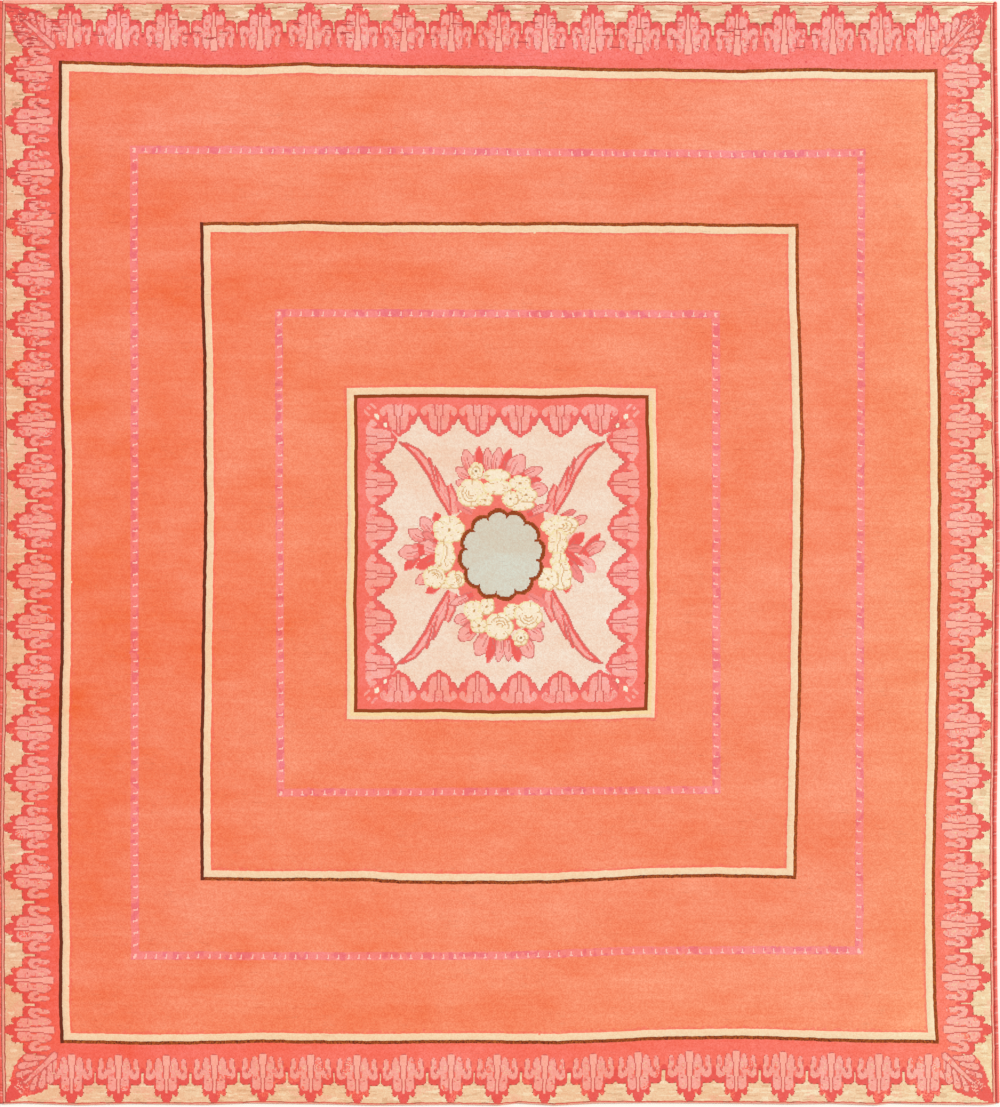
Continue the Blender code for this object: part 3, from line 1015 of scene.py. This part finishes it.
def ring_of(row, col, size, used):
    """A block's corners, anticlockwise from above, with those that its neighbours need on its sides."""
    points = []
    for k in range(size):
        points.append((row + k, col))
    for k in range(size):
        points.append((row + size, col + k))
    for k in range(size):
        points.append((row + size - k, col + size))
    for k in range(size):
        points.append((row, col + size - k))
    return [p for p in points if used[p]]


def linear(value):
    value = value / 255.0
    return value / 12.92 if value <= 0.04045 else ((value + 0.055) / 1.055) ** 2.4


LIGHT_LEVEL = (1.14, 1.14, 1.14)  # how bright a white surface is under the lights, by channel


def yarn_colours():
    colours = np.ones((len(YARNS), 4))
    for index, row in enumerate(YARNS):
        for channel in range(3):
            colours[index, channel] = min(0.93, linear(row[1 + channel]) / LIGHT_LEVEL[channel])
        colours[index, 3] = row[5]
    return colours


COLOURS = yarn_colours()
SKIRT = (  # out in metres at the ends, height over the floor, how far down the unrolled side
    (0.0006, 0.0086, 0.0016),
    (0.0009, 0.0056, 0.0046),
    (0.0006, 0.0028, 0.0074),
    (0.0000, 0.0010, 0.0094),
)


def build_tile(name, area, rows, cols, sizes, used, x, y, z, material):
    """One stretch of pile as a mesh, with the side of the pile where the carpet ends."""
    r0, r1, c0, c1 = area
    index = {}
    points, flat, faces, yarns = [], [], [], []

    def corner(key):
        if key not in index:
            index[key] = len(points)
            row, col = key
            points.append((x[row, col], y[row, col], z[row, col]))
            flat.append((x[row, col], y[row, col]))
        return index[key]

    for row, col, size in zip(rows.tolist(), cols.tolist(), sizes.tolist()):
        if size == 1:
            ring = [(row, col), (row + 1, col), (row + 1, col + 1), (row, col + 1)]
        else:
            ring = ring_of(row, col, size, used)
        faces.append([corner(key) for key in ring])
        yarns.append(CHART[row, col])

    def side(keys, knots, out_x, out_y):
        """Carry the pile's side down to the woven back along these corners of the outline."""
        chains = []
        for key in keys:
            row, col = key
            start = corner(key)
            chain = [start]
            corner_x = -1 if col == 0 else (1 if col == COLUMNS else 0)
            corner_y = 1 if row == 0 else (-1 if row == ROWS else 0)
            for out, height, down in SKIRT:
                wobble = 0.00025 * math.sin(2.1 * (row + col)) if 0 < height < 0.009 else 0.0
                step_y = (out + wobble) * corner_y
                if (key, down) not in index:
                    index[(key, down)] = len(points)
                    points.append((x[row, col] - 0.0002 * corner_x, y[row, col] + step_y, height))
                    flat.append((x[row, col] + down * corner_x, y[row, col] + down * corner_y))
                chain.append(index[(key, down)])
            chains.append(chain)
        for first, second, knot in zip(chains, chains[1:], knots):
            for k in range(len(SKIRT)):
                quad = [first[k], second[k], second[k + 1], first[k + 1]]
                faces.append(quad if out_x > 0 or out_y > 0 else quad[::-1])
                yarns.append(CHART[knot])

    if r0 == 0:
        side([(0, c) for c in range(c0, c1 + 1)], [(0, c) for c in range(c0, c1)], 0, 1)
    if r1 == ROWS:
        side([(ROWS, c) for c in range(c0, c1 + 1)], [(ROWS - 1, c) for c in range(c0, c1)], 0, -1)
    if c0 == 0:
        side([(r, 0) for r in range(r0, r1 + 1)], [(r, 0) for r in range(r0, r1)], -1, 0)
    if c1 == COLUMNS:
        side([(r, COLUMNS) for r in range(r0, r1 + 1)], [(r, COLUMNS - 1) for r in range(r0, r1)], 1, 0)
    return make_mesh(name, points, faces, flat, COLOURS[np.array(yarns)], material)


def make_mesh(name, points, faces, flat, colours, material):
    data = bpy.data.meshes.new(name)
    data.from_pydata(points, [], faces)
    data.polygons.foreach_set("use_smooth", [True] * len(faces))
    attribute = data.attributes.new("yarn", "FLOAT_COLOR", "FACE")
    attribute.data.foreach_set("color", np.asarray(colours, dtype=np.float32).ravel())
    layer = data.uv_layers.new(name="OFBake")
    flat = np.array(flat)
    low, high = flat.min(axis=0), flat.max(axis=0)
    scaled = 0.003 + 0.994 * (flat - low) / (high - low)
    corners = np.empty(len(data.loops), dtype=np.int32)
    data.loops.foreach_get("vertex_index", corners)
    layer.data.foreach_set("uv", scaled[corners].astype(np.float32).ravel())
    data.materials.append(material)
    data.validate()
    ob = bpy.data.objects.new(name, data)
    bpy.context.scene.collection.objects.link(ob)
    return ob


# ---- materials ----
def maths(tree, operation, first, second=None, third=None):
    made = tree.nodes.new("ShaderNodeMath")
    made.operation = operation
    for socket, value in zip(made.inputs, (first, second, third)):
        if value is None:
            continue
        if hasattr(value, "links"):
            tree.links.new(value, socket)
        else:
            socket.default_value = value
    return made.outputs[0]


def place(tree, scale):
    """Object coordinates times these three numbers."""
    source = tree.nodes.new("ShaderNodeTexCoord")
    mapping = tree.nodes.new("ShaderNodeMapping")
    mapping.inputs["Scale"].default_value = scale
    tree.links.new(source.outputs["Object"], mapping.inputs["Vector"])
    return mapping.outputs["Vector"]


def cloud(tree, scale, detail=2.0, rough=0.5):
    """Noise from -1 to 1."""
    noise = tree.nodes.new("ShaderNodeTexNoise")
    noise.inputs["Scale"].default_value = 1.0
    noise.inputs["Detail"].default_value = detail
    noise.inputs["Roughness"].default_value = rough
    tree.links.new(place(tree, scale), noise.inputs["Vector"])
    return maths(tree, "MULTIPLY_ADD", noise.outputs["Fac"], 4.0, -2.0)


def knot_noise(tree, pitch_x, pitch_y):
    """A number from 0 to 1 for each knot."""
    snap = tree.nodes.new("ShaderNodeVectorMath")
    snap.operation = "SNAP"
    source = tree.nodes.new("ShaderNodeTexCoord")
    tree.links.new(source.outputs["Object"], snap.inputs[0])
    snap.inputs[1].default_value = (pitch_x, pitch_y, 1.0)
    white = tree.nodes.new("ShaderNodeTexWhiteNoise")
    white.noise_dimensions = "3D"
    tree.links.new(snap.outputs[0], white.inputs["Vector"])
    return white.outputs["Value"]


def tint(tree, colour, amount, values):
    """Multiply a colour by 1 + amount times these three numbers."""
    parts = []
    separate = tree.nodes.new("ShaderNodeSeparateColor")
    tree.links.new(colour, separate.inputs[0])
    for socket, value in zip(separate.outputs, values):
        factor = maths(tree, "MULTIPLY_ADD", amount, value, 1.0)
        parts.append(maths(tree, "MULTIPLY", socket, factor))
    combine = tree.nodes.new("ShaderNodeCombineColor")
    for part, socket in zip(parts, combine.inputs):
        tree.links.new(part, socket)
    return combine.outputs[0]


def wool_material(name, strength, worn, knot_size, sheen):
    """Clipped wool pile: dye drift, knot by knot variation, worn streaks and a soft broken surface."""
    material = bpy.data.materials.new(name)
    material.use_nodes = True
    tree = material.node_tree
    shader = tree.nodes["Principled BSDF"]
    attribute = tree.nodes.new("ShaderNodeAttribute")
    attribute.attribute_name = "yarn"
    share = attribute.outputs["Alpha"]
    colour = attribute.outputs["Color"]
    # Dye drift: broad level stripes, and slow clouds
    stripes = cloud(tree, (0.55, 9.0, 1.0), 3.0, 0.55)
    broad = cloud(tree, (1.1, 1.6, 1.0), 2.0, 0.5)
    fine_stripes = cloud(tree, (3.5, 55.0, 1.0), 2.0, 0.6)
    cross = tree.nodes.new("ShaderNodeSeparateXYZ")
    tree.links.new(place(tree, (1.0, 1.0, 1.0)), cross.inputs[0])
    lean = maths(tree, "MULTIPLY_ADD", cross.outputs[0], 0.31, -0.18)
    bowed = maths(tree, "MULTIPLY", cross.outputs[1], cross.outputs[1])
    lean = maths(tree, "MULTIPLY_ADD", bowed, 0.24, lean)
    far_left = maths(tree, "MINIMUM", maths(tree, "ADD", cross.outputs[0], 0.75), 0.0)
    far_right = maths(tree, "MAXIMUM", maths(tree, "ADD", cross.outputs[0], -1.2), 0.0)
    sides = maths(tree, "MULTIPLY_ADD", far_right, 2.8, far_left)
    lean = maths(tree, "ADD", lean, sides)
    swing = maths(tree, "ADD", maths(tree, "MULTIPLY", stripes, 0.60), maths(tree, "MULTIPLY", broad, 0.58))
    middling = cloud(tree, (3.2, 4.6, 1.0), 3.0, 0.55)
    swing = maths(tree, "MULTIPLY_ADD", middling, 1.0, swing)
    mottle = cloud(tree, (9.0, 15.0, 1.0), 4.0, 0.66)
    swing = maths(tree, "MULTIPLY_ADD", mottle, 0.85, swing)
    swing = maths(tree, "ADD", swing, lean)
    swing = maths(tree, "MULTIPLY", swing, share)
    colour = tint(tree, colour, swing, (0.020, 0.17, 0.27))
    faded = maths(tree, "MULTIPLY", maths(tree, "MULTIPLY_ADD", cross.outputs[1], 0.8, -0.4), share)
    faded = maths(tree, "MAXIMUM", faded, 0.0)
    colour = tint(tree, colour, faded, (0.0, 0.02, 0.09))
    colour = tint(tree, colour, maths(tree, "MULTIPLY", sides, share), (0.0, 0.0, -0.13))
    warm = maths(tree, "MAXIMUM", maths(tree, "MULTIPLY_ADD", cross.outputs[1], -1.0, -1.2), 0.0)
    colour = tint(tree, colour, maths(tree, "MULTIPLY", warm, share), (0.0, -0.10, -0.25))
    grain = maths(tree, "MULTIPLY", maths(tree, "MULTIPLY_ADD", fine_stripes, 0.5, 0.0), share)
    colour = tint(tree, colour, grain, (0.018, 0.17, 0.24))
    # Knot by knot
    lively = maths(tree, "MULTIPLY_ADD", share, 0.75, 0.25)
    knot = maths(tree, "MULTIPLY_ADD", knot_noise(tree, *knot_size), 2.0, -1.0)
    colour = tint(tree, colour, maths(tree, "MULTIPLY", knot, lively), (0.042, 0.17, 0.22))
    blotch = cloud(tree, (60.0, 80.0, 1.0), 4.0, 0.7)
    colour = tint(tree, colour, maths(tree, "MULTIPLY", blotch, lively), (0.027, 0.145, 0.18))
    # Threads that show where the pile is low
    thread = cloud(tree, (16.0, 420.0, 1.0), 2.0, 0.5)
    where = cloud(tree, (4.0, 9.0, 1.0), 2.0, 0.5)
    low = maths(tree, "MULTIPLY", maths(tree, "GREATER_THAN", thread, 0.72), maths(tree, "GREATER_THAN", where, 0.30))
    colour = tint(tree, colour, maths(tree, "MULTIPLY", low, worn), (-0.12, -0.2, -0.22))
    tree.links.new(colour, shader.inputs["Base Color"])
    rough = maths(tree, "MULTIPLY_ADD", blotch, 0.03, 0.90)
    tree.links.new(rough, shader.inputs["Roughness"])
    # The broken top of the pile: knots, yarn ends and fibres
    ends = tree.nodes.new("ShaderNodeTexVoronoi")
    ends.feature = "F1"
    ends.inputs["Scale"].default_value = 1.0
    tree.links.new(place(tree, (290.0, 290.0, 60.0)), ends.inputs["Vector"])
    fibre = cloud(tree, (1100.0, 1100.0, 300.0), 2.0, 0.6)
    swell = cloud(tree, (70.0, 90.0, 20.0), 2.0, 0.5)
    height = maths(tree, "MULTIPLY", ends.outputs["Distance"], -0.55)
    height = maths(tree, "MULTIPLY_ADD", fibre, 0.10, height)
    height = maths(tree, "MULTIPLY_ADD", swell, 0.35, height)
    height = maths(tree, "MULTIPLY_ADD", low, -0.8, height)
    bump = tree.nodes.new("ShaderNodeBump")
    bump.inputs["Strength"].default_value = strength
    bump.inputs["Distance"].default_value = 0.0009
    tree.links.new(height, bump.inputs["Height"])
    tree.links.new(bump.outputs[0], shader.inputs["Normal"])
    shader.inputs["Sheen Weight"].default_value = sheen
    shader.inputs["Sheen Roughness"].default_value = 0.6
    shader.inputs["Specular IOR Level"].default_value = 0.12
    return material


def back_material():
    """The knotted back: rows of knot collars over a wool foundation."""
    material = bpy.data.materials.new("woven_back")
    material.use_nodes = True
    tree = material.node_tree
    shader = tree.nodes["Principled BSDF"]
    attribute = tree.nodes.new("ShaderNodeAttribute")
    attribute.attribute_name = "yarn"
    colour = attribute.outputs["Color"]
    knot = maths(tree, "MULTIPLY_ADD", knot_noise(tree, 0.002, 0.004), 2.0, -1.0)
    colour = tint(tree, colour, knot, (0.10, 0.13, 0.13))
    source = place(tree, (1.0, 1.0, 1.0))
    split = tree.nodes.new("ShaderNodeSeparateXYZ")
    tree.links.new(source, split.inputs[0])
    weft = maths(tree, "SINE", maths(tree, "MULTIPLY", split.outputs[1], 2 * math.pi / 0.004))
    warp = maths(tree, "SINE", maths(tree, "MULTIPLY", split.outputs[0], 2 * math.pi / 0.002))
    groove = maths(tree, "MULTIPLY", maths(tree, "GREATER_THAN", weft, 0.62), 1.0)
    colour = tint(tree, colour, groove, (-0.16, -0.06, -0.02))
    tree.links.new(colour, shader.inputs["Base Color"])
    slow = cloud(tree, (30.0, 30.0, 10.0), 2.0, 0.5)
    tree.links.new(maths(tree, "MULTIPLY_ADD", slow, 0.03, 0.88), shader.inputs["Roughness"])
    height = maths(tree, "MULTIPLY_ADD", warp, 0.25, maths(tree, "MULTIPLY", weft, -0.5))
    height = maths(tree, "MULTIPLY_ADD", knot, 0.15, height)
    bump = tree.nodes.new("ShaderNodeBump")
    bump.inputs["Strength"].default_value = 0.7
    bump.inputs["Distance"].default_value = 0.0006
    tree.links.new(height, bump.inputs["Height"])
    tree.links.new(bump.outputs[0], shader.inputs["Normal"])
    shader.inputs["Sheen Weight"].default_value = 0.05
    shader.inputs["Specular IOR Level"].default_value = 0.12
    return material


def cord_material():
    """Thick plied wool of the side cords."""
    material = bpy.data.materials.new("cord_wool")
    material.use_nodes = True
    tree = material.node_tree
    shader = tree.nodes["Principled BSDF"]
    attribute = tree.nodes.new("ShaderNodeAttribute")
    attribute.attribute_name = "yarn"
    colour = attribute.outputs["Color"]
    slow = cloud(tree, (4.0, 14.0, 4.0), 3.0, 0.6)
    colour = tint(tree, colour, slow, (0.02, 0.10, 0.10))
    fleck = cloud(tree, (300.0, 300.0, 300.0), 2.0, 0.6)
    colour = tint(tree, colour, fleck, (0.04, 0.08, 0.08))
    tree.links.new(colour, shader.inputs["Base Color"])
    tree.links.new(maths(tree, "MULTIPLY_ADD", fleck, 0.03, 0.88), shader.inputs["Roughness"])
    fibre = cloud(tree, (900.0, 300.0, 900.0), 3.0, 0.6)
    bump = tree.nodes.new("ShaderNodeBump")
    bump.inputs["Strength"].default_value = 0.5
    bump.inputs["Distance"].default_value = 0.0005
    tree.links.new(fibre, bump.inputs["Height"])
    tree.links.new(bump.outputs[0], shader.inputs["Normal"])
    shader.inputs["Sheen Weight"].default_value = 0.08
    shader.inputs["Sheen Roughness"].default_value = 0.5
    shader.inputs["Specular IOR Level"].default_value = 0.15
    return material


# ---- the side cords ----
WRAP = 0.0054  # one turn of the overcasting yarn
RINGS_A_WRAP = 3
ROUND = 12


def build_cord(name, table, sign, material):
    """Overcasting: slanted turns of thick yarn side by side round the edge cord."""
    shift_x = -0.0058
    side = WIDTH / 2
    points, flat, faces, colours = [], [], [], []
    # The cord's own ends stand where the carpet's end lines are
    from_left = 0.0 if sign < 0 else WIDTH
    high = LENGTH / 2 + float(along(TOP_END, from_left)) * MM + 0.00025 - 0.0012
    low = -LENGTH / 2 - float(along(BOTTOM_END, from_left)) * MM + 0.00025 + 0.0012
    count = int(round((high - low) / WRAP)) * RINGS_A_WRAP
    local = np.random.default_rng(77 + sign)
    turns = count // RINGS_A_WRAP + 3
    fat = local.normal(1.0, 0.035, turns)
    lean = local.normal(0.0, 0.0003, turns)
    # The right cord's colours are a lighter copy of the left's: painted light, as if the sun fell more on that cord.
    red, pale, dark = (
        [(250, 108, 94), (255, 150, 134), (228, 86, 72)]
        if sign < 0
        else [(253, 120, 106), (255, 164, 150), (234, 94, 82)]
    )
    red, pale, dark = (np.array([linear(v) for v in row]) / 1.14 for row in (red, pale, dark))
    shades = [
        red if value < 0.84 else (pale if value < 0.92 else dark) for value in local.random(turns)
    ]
    for ring in range(count + 1):
        y = high + (low - high) * ring / count
        from_top = LENGTH / 2 + 0.00025 - y
        out = float(along(table, min(max(from_top, 0.0), LENGTH))) * MM
        x = sign * (side + out - CORD_WIDTH / 2) - shift_x
        end = min(ring, count - ring)
        tip = {0: 0.42, 1: 0.78, 2: 0.93}.get(end, 1.0)
        for k in range(ROUND):
            angle = 2 * math.pi * k / ROUND
            # Turns slant, so each place round the cord meets the next turn a little later
            phase = ring / RINGS_A_WRAP + 0.55 * (math.cos(angle) * sign + 1) / 2
            turn = int(phase) % turns
            part = phase - int(phase)
            crest = abs(math.sin(math.pi * part)) ** 0.7
            size = (0.815 + 0.175 * crest) * (0.93 + 0.07 * fat[turn]) * tip
            half_x = (CORD_WIDTH / 2) * size
            half_z = (CORD_HEIGHT / 2) * size
            px = x + math.cos(angle) * half_x
            pz = CORD_HEIGHT / 2 + math.sin(angle) * half_z
            points.append((px, y + lean[turn] * (1 if 0 < ring < count else 0), max(pz, 0.0002)))
            flat.append((k / ROUND * 0.0421, y))
    for ring in range(count):
        for k in range(ROUND):
            a = ring * ROUND + k
            b = ring * ROUND + (k + 1) % ROUND
            faces.append([a, b, b + ROUND, a + ROUND])
            angle = 2 * math.pi * (k + 0.5) / ROUND
            phase = (ring + 0.5) / RINGS_A_WRAP + 0.55 * (math.cos(angle) * sign + 1) / 2
            # Each face is darker the nearer it lies to the groove between two turns: painted shade in the grooves.
            depth = 0.70 + 0.30 * abs(math.sin(math.pi * (phase - int(phase)))) ** 0.6
            colours.append((*(shades[int(phase) % turns] * depth), 0.3))
    for ring, order in ((0, -1), (count, 1)):
        centre = len(points)
        base = ring * ROUND
        ends = points[base : base + ROUND]
        points.append(tuple(np.mean(ends, axis=0)))
        flat.append((0.02, points[-1][1]))
        for k in range(ROUND):
            a, b = base + k, base + (k + 1) % ROUND
            faces.append([centre, a, b][:: (1 if order > 0 else -1)])
            colours.append((*shades[0], 0.3))
    data = bpy.data.meshes.new(name)
    data.from_pydata(points, [], faces)
    data.polygons.foreach_set("use_smooth", [True] * len(faces))
    attribute = data.attributes.new("yarn", "FLOAT_COLOR", "FACE")
    attribute.data.foreach_set("color", np.asarray(colours, dtype=np.float32).ravel())
    data.materials.append(material)
    data.validate()
    ob = bpy.data.objects.new(name, data)
    bpy.context.scene.collection.objects.link(ob)
    # Outward faces, whichever way the rings ran
    work = bmesh.new()
    work.from_mesh(data)
    bmesh.ops.recalc_face_normals(work, faces=work.faces)
    work.to_mesh(data)
    work.free()
    return ob


# ---- putting it together ----
grid_x, grid_y = lay_grid()
grid_z = corner_heights(grid_x, grid_y)
pile = wool_material("wool_pile", 0.55, 0.8, (0.004, 0.004), 0.06)

level = choose_blocks(CHART, ROW_CUTS, COL_CUTS, (8, 4, 2), COARSE)
used, starts = block_corners(level, ROW_CUTS, COL_CUTS)
tiles = []
for number, (area, rows, cols, sizes) in enumerate(starts):
    down, over = divmod(number, 4)
    name = f"pile_{down + 1}_{over + 1}"
    tile = build_tile(name, area, rows, cols, sizes, used, grid_x, grid_y, grid_z, pile)
    tiles.append((tile, area))


def build_back(material):
    """The woven back, which shows the design's mirror image underneath."""
    chart = CHART[::2, ::2]
    half_rows, half_cols = chart.shape
    rows_at = np.append(np.arange(0, ROWS, 2), ROWS)
    cols_at = np.append(np.arange(0, COLUMNS, 2), COLUMNS)
    x = grid_x[np.ix_(rows_at, cols_at)]
    y = grid_y[np.ix_(rows_at, cols_at)]
    z = np.full(x.shape, 0.0006) + 0.0002 * drift(x.shape, 40, 40, 91)
    z[[0, -1]], z[:, [0, -1]] = 0.0010, 0.0010
    cuts = [0, half_rows], [0, half_cols]
    limits = {name: 4 for name in NAMES} | {"field": 8}
    level = choose_blocks(chart, *cuts, (8, 4, 2), limits)
    used, starts = block_corners(level, *cuts)
    _, rows, cols, sizes = starts[0]
    index, points, flat, faces, yarns = {}, [], [], [], []
    for row, col, size in zip(rows.tolist(), cols.tolist(), sizes.tolist()):
        ring = ring_of(row, col, size, used)
        face = []
        for key in ring:
            if key not in index:
                index[key] = len(points)
                points.append((x[key], y[key], z[key]))
                flat.append((-x[key], y[key]))
            face.append(index[key])
        faces.append(face[::-1])
        yarns.append(chart[row, col])
    base = COLOURS[np.array(yarns)].copy()
    linen = np.array([linear(v) for v in (206, 186, 152)]) / 1.14
    base[:, :3] = 0.74 * base[:, :3] + 0.26 * linen
    return make_mesh("woven_back", points, faces, flat, base, material)


back = build_back(back_material())
cord = cord_material()
cord_left = build_cord("cord_left", LEFT_SIDE, -1, cord)
cord_right = build_cord("cord_right", RIGHT_SIDE, 1, cord)

pieces = [tile for tile, _ in tiles] + [back]
for piece in pieces:
    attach(piece, "root")
    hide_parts("carpet")
for piece, node_name in ((cord_left, "overcast_left"), (cord_right, "overcast_right")):
    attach(piece, "root")
    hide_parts(node_name)

# ---- floor, light, camera ----
floor_data = bpy.data.meshes.new("floor")
floor_data.from_pydata([(-40, -40, 0), (40, -40, 0), (40, 40, 0), (-40, 40, 0)], [], [(0, 1, 2, 3)])
floor = bpy.data.objects.new("floor", floor_data)
bpy.context.scene.collection.objects.link(floor)
paper = bpy.data.materials.new("plain_floor")
paper.use_nodes = True
paper.node_tree.nodes["Principled BSDF"].inputs["Base Color"].default_value = (0.90, 0.88, 0.81, 1)
paper.node_tree.nodes["Principled BSDF"].inputs["Roughness"].default_value = 0.9
floor_data.materials.append(paper)

world = bpy.data.worlds.new("soft_room")
bpy.context.scene.world = world
world.use_nodes = True
world.node_tree.nodes["Background"].inputs["Color"].default_value = (1.0, 1.0, 1.0, 1)
world.node_tree.nodes["Background"].inputs["Strength"].default_value = 0.62

sun_data = bpy.data.lights.new("window", "SUN")
sun_data.energy = 2.15
sun_data.angle = math.radians(14)
sun = bpy.data.objects.new("window", sun_data)
aim = Vector((0.80, 0.42, 0.98))
sun.rotation_mode = "QUATERNION"
sun.rotation_quaternion = aim.to_track_quat("Z", "Y")
bpy.context.scene.collection.objects.link(sun)

camera_data = bpy.data.cameras.new("camera")
camera_data.sensor_width = 36.0
camera_data.sensor_fit = "AUTO"
DISTANCE = 9.0
HIGH = 1107 * UNIT
camera_data.lens = 36.0 * (DISTANCE - 0.011) / HIGH
camera = bpy.data.objects.new("camera", camera_data)
camera.location = (ORIGIN_X, (ORIGIN_V - 553.5) * UNIT + ORIGIN_Y, DISTANCE)
bpy.context.scene.collection.objects.link(camera)
bpy.context.scene.camera = camera
bpy.context.scene.view_settings.view_transform = "Standard"
bpy.context.scene.view_settings.exposure = 0.0
